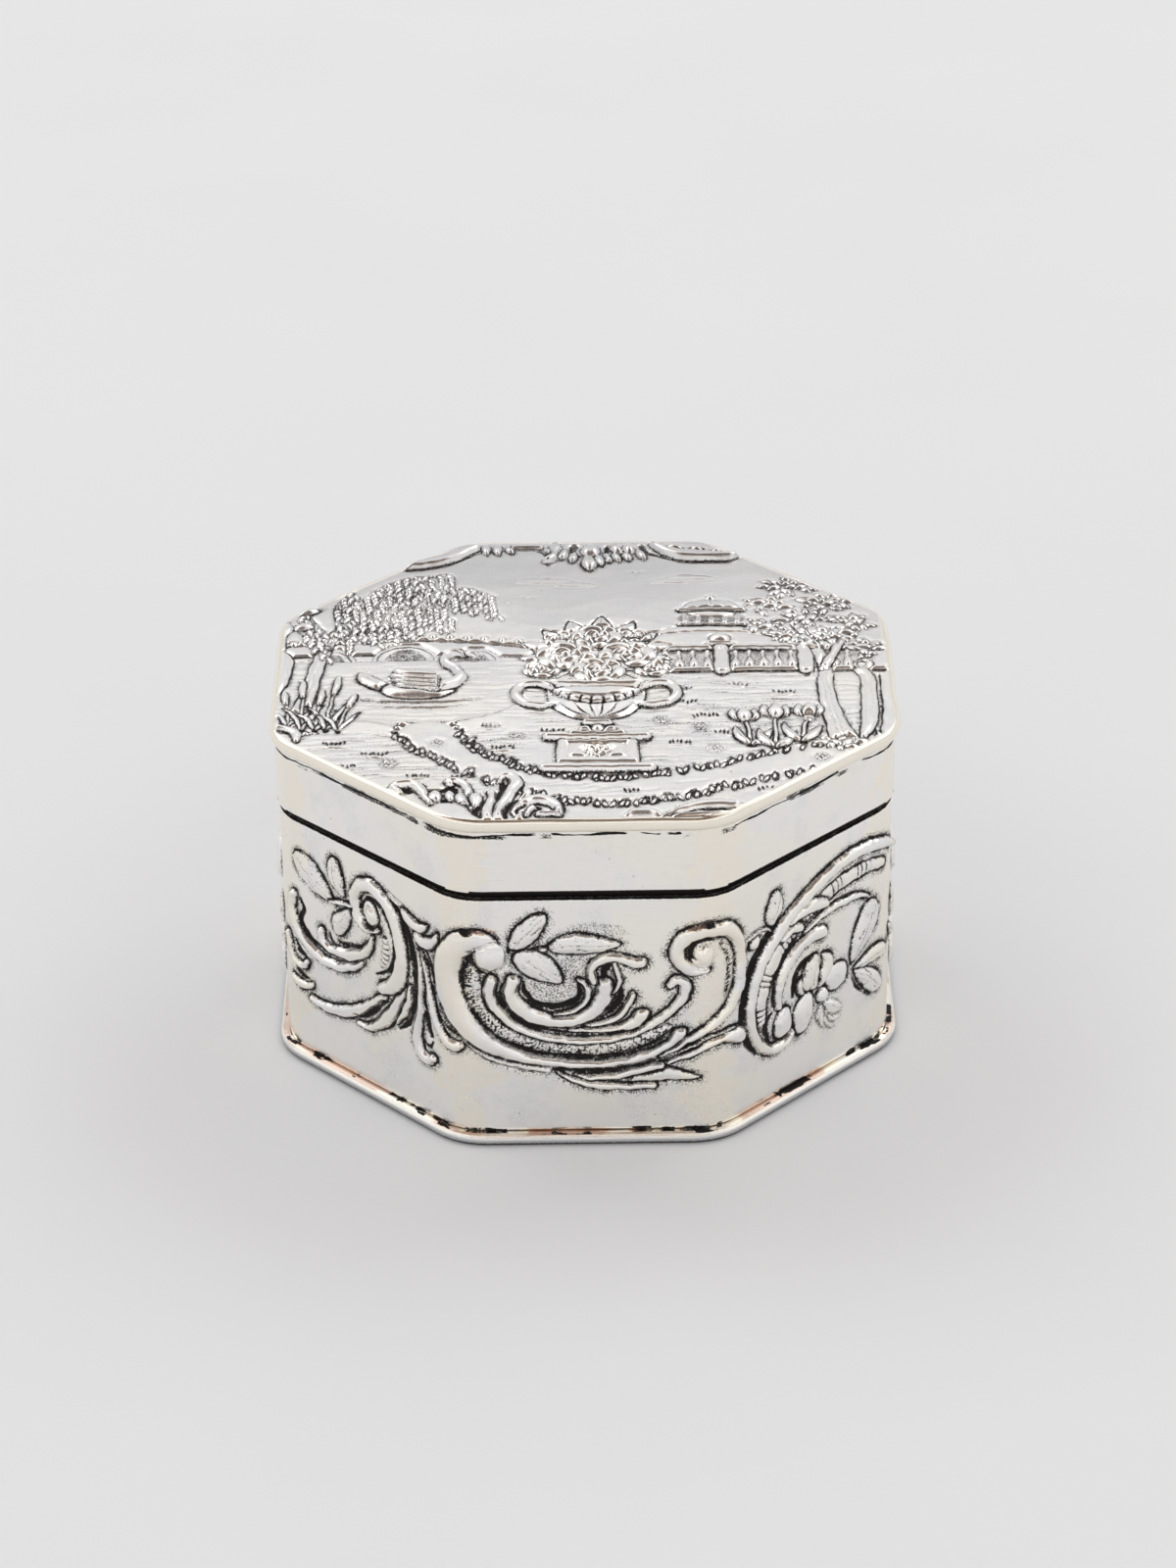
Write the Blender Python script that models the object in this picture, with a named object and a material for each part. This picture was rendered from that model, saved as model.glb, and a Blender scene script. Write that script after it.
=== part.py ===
"""Octagonal silver box with a hinged lid. Metres, +Z up, front toward -Y, standing on z = 0.

The box is a folded wall soldered to a base plate, with a bezel inside its mouth. The lid is a
stamped top plate soldered over a skirt. Five knuckles on one pin join them at the back, and the
lid is posed a little ajar on a pivot that lies on the pin's axis. The main scrolls, leaves and
figures of the stamping are ridges and domes fused to the sheets.
"""

import math

import bmesh
import bpy

# Body
ACROSS_FLATS = 0.0500  # over the plain outer faces of the wall
CORNER_RADIUS = 0.0050  # outside, where two faces of the wall meet
WALL_SHEET = 0.0006  # thickness of the sheet that wall and skirt are folded from
SEAM_HEIGHT = 0.0226  # top edge of the wall, where the lid closes
BASE_THICKNESS = 0.0010
BASE_PROUD = 0.0008  # how far the base plate stands out beyond the wall
BEZEL_SHEET = 0.0005
BEZEL_DEPTH = 0.0045  # how far the bezel reaches down inside the wall
BEZEL_RISE = 0.0018  # how far it stands up into the lid

# Lid
SKIRT_HEIGHT = 0.0060  # from the skirt's lower edge to its upper edge
SKIRT_PROUD = 0.00016  # how far the skirt stands out beyond the wall
TOP_SHEET = 0.0005
LIP_PROUD = 0.0006  # how far the top plate's lip stands out beyond the wall
LIP_HEIGHT = 0.0011  # over the plate's thickness and the turned-down lip
LIP_BULGE = 0.00032  # how far the lip's rounded edge swells out of its flat faces
LID_AJAR_DEG = 0.80  # how far the lid stands open as posed

# Stamping
RELIEF_RISE = 0.00045  # how far a main scroll stands out of the sheet
RELIEF_ROOT = 0.00020  # how far its solid reaches into the sheet
CROWN_SHARE = 0.55  # width of a scroll's crown, as a share of its foot
SHOULDER_SHARE = 0.75  # height and width at a dome's shoulder, as shares of the whole
DRAWN_ACROSS_SHARE = 50  # units of the drawings to the width across flats
DRAWN_UP_SHARE = 22.6  # units of the wall's drawings up to the seam

# Hinge
HINGE_LENGTH = 0.0140  # over the outer faces of the end knuckles
KNUCKLE_COUNT = 5
KNUCKLE_RADIUS = 0.0011
PIN_RADIUS = 0.00045
PIN_HEAD_RADIUS = 0.0007
PIN_HEAD_LENGTH = 0.0003
AXIS_OUT = 0.00014  # from the skirt's back face out to the hinge axis

# Clearances
SOLDER_GAP = 0.0001  # between two pieces that are soldered together
CLOSING_GAP = 0.00005  # between wall and skirt when the lid is shut
PIN_CLEARANCE = 0.00005  # all round the pin in the knuckles
KNUCKLE_GAP = 0.0001  # between two neighbouring knuckles
NOTCH_CLEARANCE = 0.0001  # round the barrel, in the sheets cut out for it
CUT_OVERRUN = 0.0010  # how far a cutter reaches past what it cuts

SHARP_DEG = 35  # edges that bend more than this are shown sharp

# Counts
FACES = 8
CORNER_STEPS = 6  # facets round each corner of the octagon
EDGE_STEPS = 6  # facets round a rounded edge
ROUND_STEPS = 40  # facets round the barrel and the pin
HEAD_STEPS = 4  # facets from the rim of a pin head to its crown
SPAN_STEPS = 2  # straight runs of a scroll from one of its drawn points to the next
DOME_STEPS = 10  # facets round a dome
BALUSTERS = 13

WALL_APOTHEM = ACROSS_FLATS / 2
SKIRT_APOTHEM = WALL_APOTHEM + SKIRT_PROUD
AXIS_Y = SKIRT_APOTHEM + AXIS_OUT
AXIS_Z = SEAM_HEIGHT
BORE_RADIUS = PIN_RADIUS + PIN_CLEARANCE

DRAWN_UNIT = ACROSS_FLATS / DRAWN_ACROSS_SHARE
DRAWN_RISE_UNIT = SEAM_HEIGHT / DRAWN_UP_SHARE

# Scrolls of a main face, as (along, up, half width) in units of the drawing from the face's middle
FRONT_SCROLL_SHARES = (
    ((-7.5, 18.3, .5), (-9.0, 19.2, .95), (-11.0, 17.9, 1.25), (-11.6, 15.0, 1.3), (-10.8, 12.4, 1.2),
     (-8.8, 10.0, .95), (-5.6, 8.3, .6), (-1.0, 7.5, .38), (3.0, 7.7, .33), (6.7, 9.2, .45), (7.4, 10.4, .5)),
    ((-7.8, 15.0, .45), (-7.0, 12.5, .45), (-4.2, 10.3, .35), (0, 9.7, .3), (3.5, 10.3, .33),
     (6.4, 12.0, .42), (7.7, 14.0, .48), (7.0, 15.2, .4)),
    ((-6.0, 15.3, .5), (-5.7, 13.1, .62), (-3.4, 11.7, .6), (-.6, 11.7, .52), (1.2, 13.4, .7),
     (1.35, 15.0, .5)),
    ((.1, 10.6, .14), (2.4, 10.8, .28), (4.2, 12.0, .5)),
    ((9.6, 16.2, .3), (7.6, 16.8, .58), (7.3, 18.4, .64), (9.2, 19.8, .62), (11.9, 19.1, .64),
     (12.9, 17.0, .6), (12.9, 14.4, .6), (11.8, 12.2, .52), (9.4, 10.3, .36), (6.6, 8.6, .18)),
    ((.45, 15.2, .3), (.9, 17.0, .42), (2.8, 17.3, .42), (4.2, 17.0, .45)),
    ((6.4, 7.3, .15), (9.6, 9.0, .34), (12.9, 8.8, .6)),
    ((-2.4, 6.6, .12), (.4, 5.4, .3), (5.0, 5.2, .3)),
    ((-2.9, 18.4, .14), (-.9, 18.8, .85), (.9, 18.7, .8), (2.6, 18.6, .14)),
    ((-6.0, 18.3, .14), (-5.0, 19.6, .75), (-4.1, 20.4, .6), (-3.5, 21.1, .12)),
    ((-5.4, 17.6, .14), (-4.3, 16.9, .9), (-3.2, 16.1, .9), (-2.2, 15.2, .14)),
)
FRONT_DOME_SHARES = ((-7.75, 17.6, 1.3, 1.35), (9.15, 17.6, .9, .9))

# Scrolls of the face to the right of a main face, from that main face's middle
RIGHT_SCROLL_SHARES = (
    ((19.4, 6.3, .3), (16.9, 5.7, .5), (14.9, 7.6, .52), (14.3, 10.8, .5), (15.4, 14.4, .58),
     (18.6, 17.4, .66), (23.2, 19.5, .62), (28.4, 20.0, .55), (32.2, 18.8, .3)),
    ((17.8, 9.5, .25), (18.3, 12.5, .45), (20.5, 14.2, .6), (23.0, 14.4, .55)),
    ((18.9, 17.0, .2), (20.8, 17.4, .5), (23.2, 17.0, .4)),
    ((22.4, 9.2, .14), (22.0, 10.8, .9), (22.3, 12.4, .14)),
    ((29.3, 14.2, .14), (28.5, 12.4, 1.1), (27.1, 9.6, .14)),
    ((30.6, 5.8, .14), (29.0, 7.2, .85), (27.5, 8.4, .14)),
)
RIGHT_DOME_SHARES = (
    (18.4, 7.7, 1.0, 1.35), (21.0, 7.4, 1.1, 1.7), (25.1, 9.2, 1.3, 1.2), (24.0, 5.9, 1.6, 1.3),
)

# Scrolls of the face to the left of a main face, from that main face's middle
LEFT_SCROLL_SHARES = (
    ((-19.9, 16.2, .3), (-21.6, 16.5, .45), (-22.1, 18.3, .55), (-20.4, 20.2, .6), (-18.3, 19.2, .6),
     (-17.0, 16.2, .62), (-17.1, 13.3, .74), (-18.6, 11.4, .6)),
    ((-15.3, 17.6, .12), (-14.6, 13.6, .22), (-15.1, 9.6, .4), (-15.1, 6.9, .48), (-13.7, 6.7, .35)),
    ((-14.9, 17.3, .12), (-13.7, 13.7, .2), (-12.7, 10.2, .38), (-10.9, 8.9, .35)),
    ((-20.4, 15.3, .2), (-21.8, 13.2, .52), (-24.6, 12.1, .45), (-26.6, 13.1, .3)),
    ((-21.8, 12.3, .15), (-24.6, 10.7, .44), (-28.2, 11.0, .5), (-30.4, 13.6, .48), (-29.9, 15.5, .25)),
    ((-28.2, 5.9, .3), (-24.4, 6.4, .48), (-20.7, 8.8, .42), (-19.4, 10.1, .25)),
    ((-22.4, 6.2, .2), (-19.8, 7.2, .5), (-17.5, 10.2, .56), (-16.9, 11.9, .3)),
    ((-29.2, 19.4, .14), (-27.2, 18.1, 1.05), (-25.1, 16.9, .14)),
    ((-24.7, 20.9, .14), (-24.5, 19.3, .75), (-23.8, 17.9, .14)),
    ((-24.5, 14.3, .14), (-24.0, 15.4, .75), (-23.2, 16.8, .14)),
)
LEFT_DOME_SHARES = ((-20.4, 17.6, .8, 1.1),)

# One C-scroll of a side face, and one half of its palmette
SIDE_SCROLL_SHARES = (
    ((5.2, 14.3, .3), (6.9, 15.7, .48), (5.4, 17.5, .55), (3.3, 15.8, .6), (3.4, 13.0, .6), (5.0, 10.7, .6),
     (7.1, 8.0, .5), (5.8, 5.6, .45), (4.7, 6.8, .3)),
    ((1.1, 5.0, .14), (3.4, 6.3, .34), (4.0, 9.3, .14)),
    ((6.7, 10.5, .14), (8.0, 12.3, .7), (8.3, 14.3, .14)),
    ((.4, 7.8, .2), (1.5, 11.0, .5), (2.6, 12.2, .14)),
)
SIDE_MIDDLE_SHARES = (
    ((0, 7.8, .25), (0, 11.5, .55), (0, 14.6, .14)),
    ((0, 6.8, .3), (0, 5.6, .5), (0, 4.4, .14)),
)
SIDE_DOME_SHARES = ((0, 7.2, .95, .8), (5.3, 15.6, .7, .7), (-5.3, 15.6, .7, .7))

# Forms of the lid, as (x, y, half width) in units of the drawing from its middle
LID_BORDER_SHARES = (
    ((-14.6, -20.6, .25), (-15.0, -19.7, .42), (-13.8, -19.1, .48), (-13.0, -20.3, .48), (-12.3, -22.0, .25)),
    ((-10.8, -19.2, .3), (-10.0, -18.9, .38), (-9.3, -20.4, .35), (-9.0, -23.0, .22)),
    ((-7.3, -20.9, .35), (-7.3, -22.6, .52), (-7.7, -24.5, .42)),
    ((-6.6, -18.5, .3), (-5.6, -18.8, .5), (-6.0, -21.0, .5), (-6.8, -24.5, .4)),
    ((-5.2, -24.5, .3), (-5.2, -23.2, .48), (-3.8, -22.1, .6), (-2.4, -22.9, .52), (-2.2, -24.4, .25)),
    ((6.0, -24.7, .15), (8.2, -23.7, .48), (10.0, -23.1, .58), (12.2, -23.5, .3)),
    ((6.2, 24.0, .35), (8.2, 22.3, .8), (11.0, 21.8, .7), (13.3, 22.1, .3)),
    ((-9.1, 24.0, .35), (-11.2, 22.4, .8), (-13.6, 21.0, .68), (-15.9, 20.2, .25)),
    ((-2.3, 24.2, .45), (-2.3, 22.6, .5), (-2.9, 21.4, .45)),
    ((.55, 22.4, .3), (.6, 20.9, .7), (.6, 19.4, .14)),
    ((-24.6, 4.4, .2), (-24.3, .6, .52), (-24.7, -3.4, .2)),
    ((23.1, -.2, .5), (23.3, -4.0, .58), (22.9, -9.8, .58), (22.4, -11.7, .3)),
)
LID_SCENE_SHARES = (
    ((-23.3, -7.6, .85), (-22.5, -2.0, .64), (-21.9, 3.0, .55), (-19.8, 10.2, .4)),
    ((20.7, -12.2, .95), (20.0, -5.0, .66), (19.8, .6, .55), (18.3, 7.8, .35)),
    ((19.9, .9, .4), (21.0, 3.8, .34), (22.1, 7.2, .25)),
    ((-24.0, 5.0, .8), (-19.0, 5.6, .85), (-14.5, 5.9, .95), (-9.0, 5.3, .85), (-4.8, 4.3, .6)),
    ((-11.6, -2.2, .7), (-10.3, -.8, .52), (-11.2, 1.7, .42), (-11.3, 3.2, .42), (-10.1, 3.5, .42)),
    ((-15.8, -2.4, .3), (-17.4, -1.3, .62), (-18.4, .3, .14)),
    ((5.2, .2, .34), (22.4, .2, .34)),
    ((5.2, 4.2, .42), (22.4, 4.2, .42)),
    ((11.4, .2, .6), (11.4, 4.6, .6)),
    ((18.36, .2, .6), (18.36, 4.6, .6)),
    ((8.2, 8.6, .3), (13.4, 8.6, .3)),
    ((8.3, 11.2, .3), (13.3, 11.2, .3)),
)
LID_DOME_SHARES = (
    (-13.6, -2.7, 2.9, 1.6), (10.8, 12.0, 2.1, 1.6), (11.4, 6.0, .8, .8), (18.36, 6.0, .8, .8),
    (17.4, 15.6, 2.4, 1.9), (20.5, 12.4, 2.3, 1.9), (15.5, 12.2, 2.1, 1.6), (18.6, 9.6, 2.5, 1.7),
    (15.2, 8.3, 1.7, 1.1),
    (-18.0, 11.4, 2.4, 3.2), (-13.2, 13.2, 2.8, 2.4), (-9.5, 12.2, 1.6, 2.6), (.7, 23.2, .8, 1.0),
    (12.9, -8.2, .8, 1.0), (15.45, -7.4, .8, 1.0), (18.2, -7.6, .8, 1.0),
)
TEMPLE_COLUMN_SHARES = ((8.6, 9.1), (13.0, 10.8), .2)  # first column's foot, last one's head, half width
TEMPLE_COLUMNS = 5
BALUSTER_SHARES = ((6.5, .9), (17.4, 3.7), .34)  # first baluster's foot, last one's head, half width

# The urn, its plinth and its flowers, from the middle of the lid
URN_MIDDLE_SHARE = 1.0  # where the urn's axis lies, to the right of the lid's middle
URN_SHARES = (
    ((0, -16.4, 3.0), (0, -12.0, 3.0)),
    ((-4.0, -16.9, .52), (4.0, -16.9, .52)),
    ((-3.7, -11.6, .48), (3.7, -11.6, .48)),
    ((0, -11.0, 2.1), (0, -10.0, 1.3), (0, -8.9, .75), (0, -8.3, .9), (0, -7.6, 2.1), (0, -6.2, 3.3),
     (0, -4.6, 3.85), (0, -2.8, 3.4)),
    ((-3.7, -2.3, .5), (3.7, -2.3, .5)),
)
HANDLE_SHARES = ((3.7, -2.8, .3), (5.6, -2.4, .4), (6.2, -4.1, .42), (5.2, -5.4, .38), (4.2, -5.5, .25))
BOUQUET_SHARES = (
    (0, 2.9, 5.2, 4.7), (-1.7, 2.7, 1.8, 1.6), (1.9, 2.9, 1.7, 1.5), (.1, .1, 1.6, 1.4), (.1, 5.1, 1.4, 1.3),
    (-4.3, 1.4, 1.3, 1.2), (4.4, 1.7, 1.3, 1.2), (-3.6, 4.9, 1.3, 1.2), (3.7, 5.0, 1.4, 1.2),
    (.2, 7.3, 1.4, 1.2),
)
BOUQUET_RISE_SHARE = 1.35  # of the scrolls' rise

BRIGHT_SILVER = (0.80, 0.79, 0.76, 1.0)
WARM_SILVER = (0.80, 0.77, 0.71, 1.0)
SATIN_SILVER = (0.70, 0.69, 0.67, 1.0)


def clear_scene():
    for old in list(bpy.data.objects):
        bpy.data.objects.remove(old, do_unlink=True)


def metal(name, colour, roughness):
    """A plain metal finish with its own name."""
    material = bpy.data.materials.new(name)
    material.use_nodes = True
    shader = material.node_tree.nodes["Principled BSDF"]
    shader.inputs["Base Color"].default_value = colour
    shader.inputs["Metallic"].default_value = 1.0
    shader.inputs["Roughness"].default_value = roughness
    return material


def make_object(name, mesh_builder, colour, roughness):
    """A new object whose bmesh was filled by mesh_builder, smooth except at its sharp edges."""
    mesh = bpy.data.meshes.new(name)
    bmesh.ops.recalc_face_normals(mesh_builder, faces=mesh_builder.faces)
    mesh_builder.to_mesh(mesh)
    mesh_builder.free()
    mesh.shade_smooth()
    mesh.set_sharp_from_angle(angle=math.radians(SHARP_DEG))
    mesh.materials.append(metal(name + "_metal", colour, roughness))
    made = bpy.data.objects.new(name, mesh)
    bpy.context.scene.collection.objects.link(made)
    return made


def octagon_points(apothem, radius):
    """(x, y) round a regular octagon with rounded corners and flats square to X and Y."""
    turn = 2 * math.pi / FACES
    reach = (apothem - radius) / math.cos(turn / 2)
    points = []
    for corner in range(FACES):
        middle = (corner + 0.5) * turn
        for step in range(CORNER_STEPS + 1):
            angle = middle + turn * (step / CORNER_STEPS - 0.5)
            x = reach * math.cos(middle) + radius * math.cos(angle)
            y = reach * math.sin(middle) + radius * math.sin(angle)
            points.append((x, y))
    return points


def add_octagon_ring(builder, apothem, z):
    """A ring of vertices parallel to the wall's outline, at this apothem and height."""
    radius = CORNER_RADIUS + apothem - WALL_APOTHEM
    return [builder.verts.new((x, y, z)) for x, y in octagon_points(apothem, radius)]


def bridge(builder, ring, following):
    """Quads from one ring of vertices to the next."""
    count = len(ring)
    for place in range(count):
        beside = (place + 1) % count
        builder.faces.new((ring[place], ring[beside], following[beside], following[place]))


def capped_octagon(profile):
    """A plate or dish: octagonal rings along a profile of (apothem, z), closed at both ends."""
    builder = bmesh.new()
    rings = [add_octagon_ring(builder, apothem, z) for apothem, z in profile]
    for ring, following in zip(rings, rings[1:]):
        bridge(builder, ring, following)
    builder.faces.new(rings[0])
    builder.faces.new(rings[-1])
    return builder


def octagonal_tube(outer_apothem, sheet, low, high):
    """A folded strip of sheet between two heights, open at both ends."""
    builder = bmesh.new()
    inner_apothem = outer_apothem - sheet
    corners = (
        (outer_apothem, low),
        (outer_apothem, high),
        (inner_apothem, high),
        (inner_apothem, low),
    )
    rings = [add_octagon_ring(builder, apothem, z) for apothem, z in corners]
    for ring, following in zip(rings, rings[1:] + rings[:1]):
        bridge(builder, ring, following)
    return builder


def rounded_edge(outer_apothem, bulge, low, high):
    """(apothem, z) up a rounded edge that swells by bulge, from the lower face to the upper one."""
    radius = (high - low) / 2
    middle_z = (high + low) / 2
    centre = outer_apothem - bulge
    profile = []
    for step in range(EDGE_STEPS + 1):
        angle = math.pi * (step / EDGE_STEPS - 0.5)
        profile.append((centre + bulge * math.cos(angle), middle_z + radius * math.sin(angle)))
    return profile


def turned_piece(profile, closed):
    """A piece turned about X from a profile of (x, radius): a tube if closed, else capped."""
    builder = bmesh.new()
    rings = []
    for x, radius in profile:
        ring = []
        for step in range(ROUND_STEPS):
            angle = 2 * math.pi * step / ROUND_STEPS
            ring.append(builder.verts.new((x, radius * math.cos(angle), radius * math.sin(angle))))
        rings.append(ring)
    for ring, following in zip(rings, rings[1:]):
        bridge(builder, ring, following)
    if closed:
        bridge(builder, rings[-1], rings[0])
    else:
        builder.faces.new(rings[0])
        builder.faces.new(rings[-1])
    return builder


def block(half_x, low_y, high_y, low_z, high_z):
    """A box centred on x = 0."""
    builder = bmesh.new()
    size = (2 * half_x, high_y - low_y, high_z - low_z)
    bmesh.ops.create_cube(builder, size=1)
    bmesh.ops.scale(builder, vec=size, verts=builder.verts)
    centre = (0, (high_y + low_y) / 2, (high_z + low_z) / 2)
    bmesh.ops.translate(builder, vec=centre, verts=builder.verts)
    return builder


def cut_hinge_notch(piece, low_z, high_z):
    """Cuts a piece away round the barrel at the back, between two heights in its own space."""
    half_x = HINGE_LENGTH / 2 + PIN_HEAD_LENGTH + NOTCH_CLEARANCE
    low_y = AXIS_Y - KNUCKLE_RADIUS - NOTCH_CLEARANCE - CUT_OVERRUN
    high_y = AXIS_Y + KNUCKLE_RADIUS
    if piece.parent:
        low_y -= AXIS_Y
        high_y -= AXIS_Y
    cutter = make_object(piece.name + "_notch", block(half_x, low_y, high_y, low_z, high_z),
                         SATIN_SILVER, 0.4)
    cutter.parent = piece.parent
    cutter.hide_render = True
    cutter.display_type = "WIRE"
    notch = piece.modifiers.new("hinge_notch", "BOOLEAN")
    notch.operation = "DIFFERENCE"
    notch.solver = "EXACT"
    notch.object = cutter


def on_wall(along, up, out):
    """A point at a place along the sharp octagon from the front's middle, this far out of the wall."""
    turn = 2 * math.pi / FACES
    width = ACROSS_FLATS * math.tan(turn / 2)
    face = math.floor(along / width + 0.5)
    place = along - face * width
    corner = CORNER_RADIUS * math.tan(turn / 2)
    flat = width / 2 - corner
    bend = turn / 2 * min(max((abs(place) - flat) / corner, 0), 1)
    side = math.copysign(1, place)
    beside = min(max(place, -flat), flat) + side * (CORNER_RADIUS + out) * math.sin(bend)
    away = WALL_APOTHEM - CORNER_RADIUS + (CORNER_RADIUS + out) * math.cos(bend)
    angle = face * turn - math.pi / 2
    x = away * math.cos(angle) - beside * math.sin(angle)
    y = away * math.sin(angle) + beside * math.cos(angle)
    return (x, y, up)


def on_lid(x, y, out):
    """A point of the shut lid's top, this far above it, in the pivot's space."""
    top = SEAM_HEIGHT + CLOSING_GAP + SKIRT_HEIGHT + SOLDER_GAP + TOP_SHEET
    return (x, y - AXIS_Y, top - AXIS_Z + out)


def curve_through(points):
    """Rows along a smooth curve through the drawn rows, with SPAN_STEPS runs to each span."""
    first = [2 * a - b for a, b in zip(points[0], points[1])]
    last = [2 * a - b for a, b in zip(points[-1], points[-2])]
    rows = [first, *points, last]
    curve = []
    for before, start, end, after in zip(rows, rows[1:], rows[2:], rows[3:]):
        for step in range(SPAN_STEPS):
            t = step / SPAN_STEPS
            curve.append([0.5 * (2 * b + (c - a) * t + (2 * a - 5 * b + 4 * c - d) * t ** 2
                                 + (3 * b - a - 3 * c + d) * t ** 3)
                          for a, b, c, d in zip(before, start, end, after)])
    curve.append(list(points[-1]))
    return curve


def ridge(points, surface, rise, root):
    """A raised band with a flat crown, along (place, place, half width) rows on a surface."""
    builder = bmesh.new()
    rows = curve_through(points)
    widest = max(row[2] for row in rows)
    rings = []
    for place, (u, v, half) in enumerate(rows):
        before = rows[max(place - 1, 0)]
        after = rows[min(place + 1, len(rows) - 1)]
        length = math.hypot(after[0] - before[0], after[1] - before[1])
        across_u = (before[1] - after[1]) / length
        across_v = (after[0] - before[0]) / length
        crown = rise * math.sqrt(half / widest)
        top = half * CROWN_SHARE
        ring = []
        for reach, out in ((-half, -root), (-top, crown), (top, crown), (half, -root)):
            ring.append(builder.verts.new(surface(u + across_u * reach, v + across_v * reach, out)))
        rings.append(ring)
    for ring, following in zip(rings, rings[1:]):
        bridge(builder, ring, following)
    builder.faces.new(rings[0])
    builder.faces.new(rings[-1])
    return builder


def dome(u, v, half_u, half_v, surface, rise, root):
    """A low oval dome on a surface."""
    builder = bmesh.new()
    rings = []
    for share, out in ((1, -root), (SHOULDER_SHARE, rise * SHOULDER_SHARE)):
        ring = []
        for step in range(DOME_STEPS):
            angle = 2 * math.pi * step / DOME_STEPS
            place = surface(u + half_u * share * math.cos(angle), v + half_v * share * math.sin(angle), out)
            ring.append(builder.verts.new(place))
        rings.append(ring)
    bridge(builder, rings[0], rings[1])
    crown = builder.verts.new(surface(u, v, rise))
    for step in range(DOME_STEPS):
        builder.faces.new((rings[1][step], rings[1][(step + 1) % DOME_STEPS], crown))
    builder.faces.new(rings[0])
    return builder


def scaled(shares, across, up, shift=0):
    """Drawn rows (along, up, half width) as lengths, moved along by shift."""
    return [(u * across + shift, v * up, half * across) for u, v, half in shares]


def mirrored(rows):
    """The same rows on the other side of the middle."""
    return [(-u, v, half) for u, v, half in rows]


def fuse(piece, forms):
    """Fuses forms, built in the piece's space, to its mesh with one union."""
    group = bpy.data.collections.new(piece.name + "_stamping")
    for number, builder in enumerate(forms):
        form = make_object(f"{piece.name}_form_{number}", builder, BRIGHT_SILVER, 0.25)
        form.parent = piece.parent
        group.objects.link(form)
    union = piece.modifiers.new("stamping", "BOOLEAN")
    union.operation = "UNION"
    union.solver = "EXACT"
    union.operand_type = "COLLECTION"
    union.collection = group
    seen = bpy.context.evaluated_depsgraph_get()
    fused = bpy.data.meshes.new_from_object(piece.evaluated_get(seen))
    fused.set_sharp_from_angle(angle=math.radians(SHARP_DEG))
    piece.modifiers.clear()
    piece.data = fused
    for form in list(group.objects):
        bpy.data.objects.remove(form, do_unlink=True)
    bpy.data.collections.remove(group)


def root_depth(number):
    """Depth of one form's foot, a little unlike its neighbours' so that no two feet share a plane."""
    return RELIEF_ROOT * (1 + number % FACES / (2 * FACES))


def wall_forms():
    """The frieze: the same pair of main faces front and back, with their neighbours, and two side faces."""
    width = ACROSS_FLATS * math.tan(math.pi / FACES)
    half_round = width * FACES / 2
    forms = []
    friezes = FRONT_SCROLL_SHARES + RIGHT_SCROLL_SHARES + LEFT_SCROLL_SHARES
    domes = FRONT_DOME_SHARES + RIGHT_DOME_SHARES + LEFT_DOME_SHARES
    for shift in (0, half_round):
        lines = [scaled(shares, DRAWN_UNIT, DRAWN_RISE_UNIT, shift) for shares in friezes]
        side_shift = shift + half_round / 2
        for shares in SIDE_SCROLL_SHARES:
            rows = scaled(shares, DRAWN_UNIT, DRAWN_RISE_UNIT)
            for half in (rows, mirrored(rows)):
                lines.append([(u + side_shift, v, wide) for u, v, wide in half])
        lines += [scaled(shares, DRAWN_UNIT, DRAWN_RISE_UNIT, side_shift) for shares in SIDE_MIDDLE_SHARES]
        for rows in lines:
            forms.append(ridge(rows, on_wall, RELIEF_RISE, root_depth(len(forms))))
        spots = [(u, v, a, b, shift) for u, v, a, b in domes]
        spots += [(u, v, a, b, side_shift) for u, v, a, b in SIDE_DOME_SHARES]
        for u, v, half_u, half_v, start in spots:
            forms.append(dome(u * DRAWN_UNIT + start, v * DRAWN_RISE_UNIT, half_u * DRAWN_UNIT,
                              half_v * DRAWN_RISE_UNIT, on_wall, RELIEF_RISE, root_depth(len(forms))))
    return forms


def row_of_posts(shares, count):
    """Upright bars from the first one's foot to the last one's head, evenly spaced."""
    (first, foot), (last, head), half = shares
    posts = []
    for place in range(count):
        u = first + (last - first) * place / (count - 1)
        posts.append(((u, foot, half), (u, head, half)))
    return posts


def lid_forms():
    """The lid's border and its picture: an urn of flowers between a lake and a garden."""
    drawn = list(LID_BORDER_SHARES) + list(LID_SCENE_SHARES)
    drawn += row_of_posts(TEMPLE_COLUMN_SHARES, TEMPLE_COLUMNS)
    drawn += row_of_posts(BALUSTER_SHARES, BALUSTERS)
    lines = [scaled(shares, DRAWN_UNIT, DRAWN_UNIT) for shares in drawn]
    middle = URN_MIDDLE_SHARE * DRAWN_UNIT
    handle = scaled(HANDLE_SHARES, DRAWN_UNIT, DRAWN_UNIT)
    for rows in [scaled(shares, DRAWN_UNIT, DRAWN_UNIT) for shares in URN_SHARES] + [handle, mirrored(handle)]:
        lines.append([(u + middle, v, half) for u, v, half in rows])
    forms = []
    for rows in lines:
        forms.append(ridge(rows, on_lid, RELIEF_RISE, root_depth(len(forms))))
    spots = [(u, v, a, b, 0, RELIEF_RISE) for u, v, a, b in LID_DOME_SHARES]
    spots += [(u, v, a, b, middle, RELIEF_RISE * BOUQUET_RISE_SHARE) for u, v, a, b in BOUQUET_SHARES]
    for u, v, half_u, half_v, start, rise in spots:
        forms.append(dome(u * DRAWN_UNIT + start, v * DRAWN_UNIT, half_u * DRAWN_UNIT, half_v * DRAWN_UNIT,
                          on_lid, rise, root_depth(len(forms))))
    return forms


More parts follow.
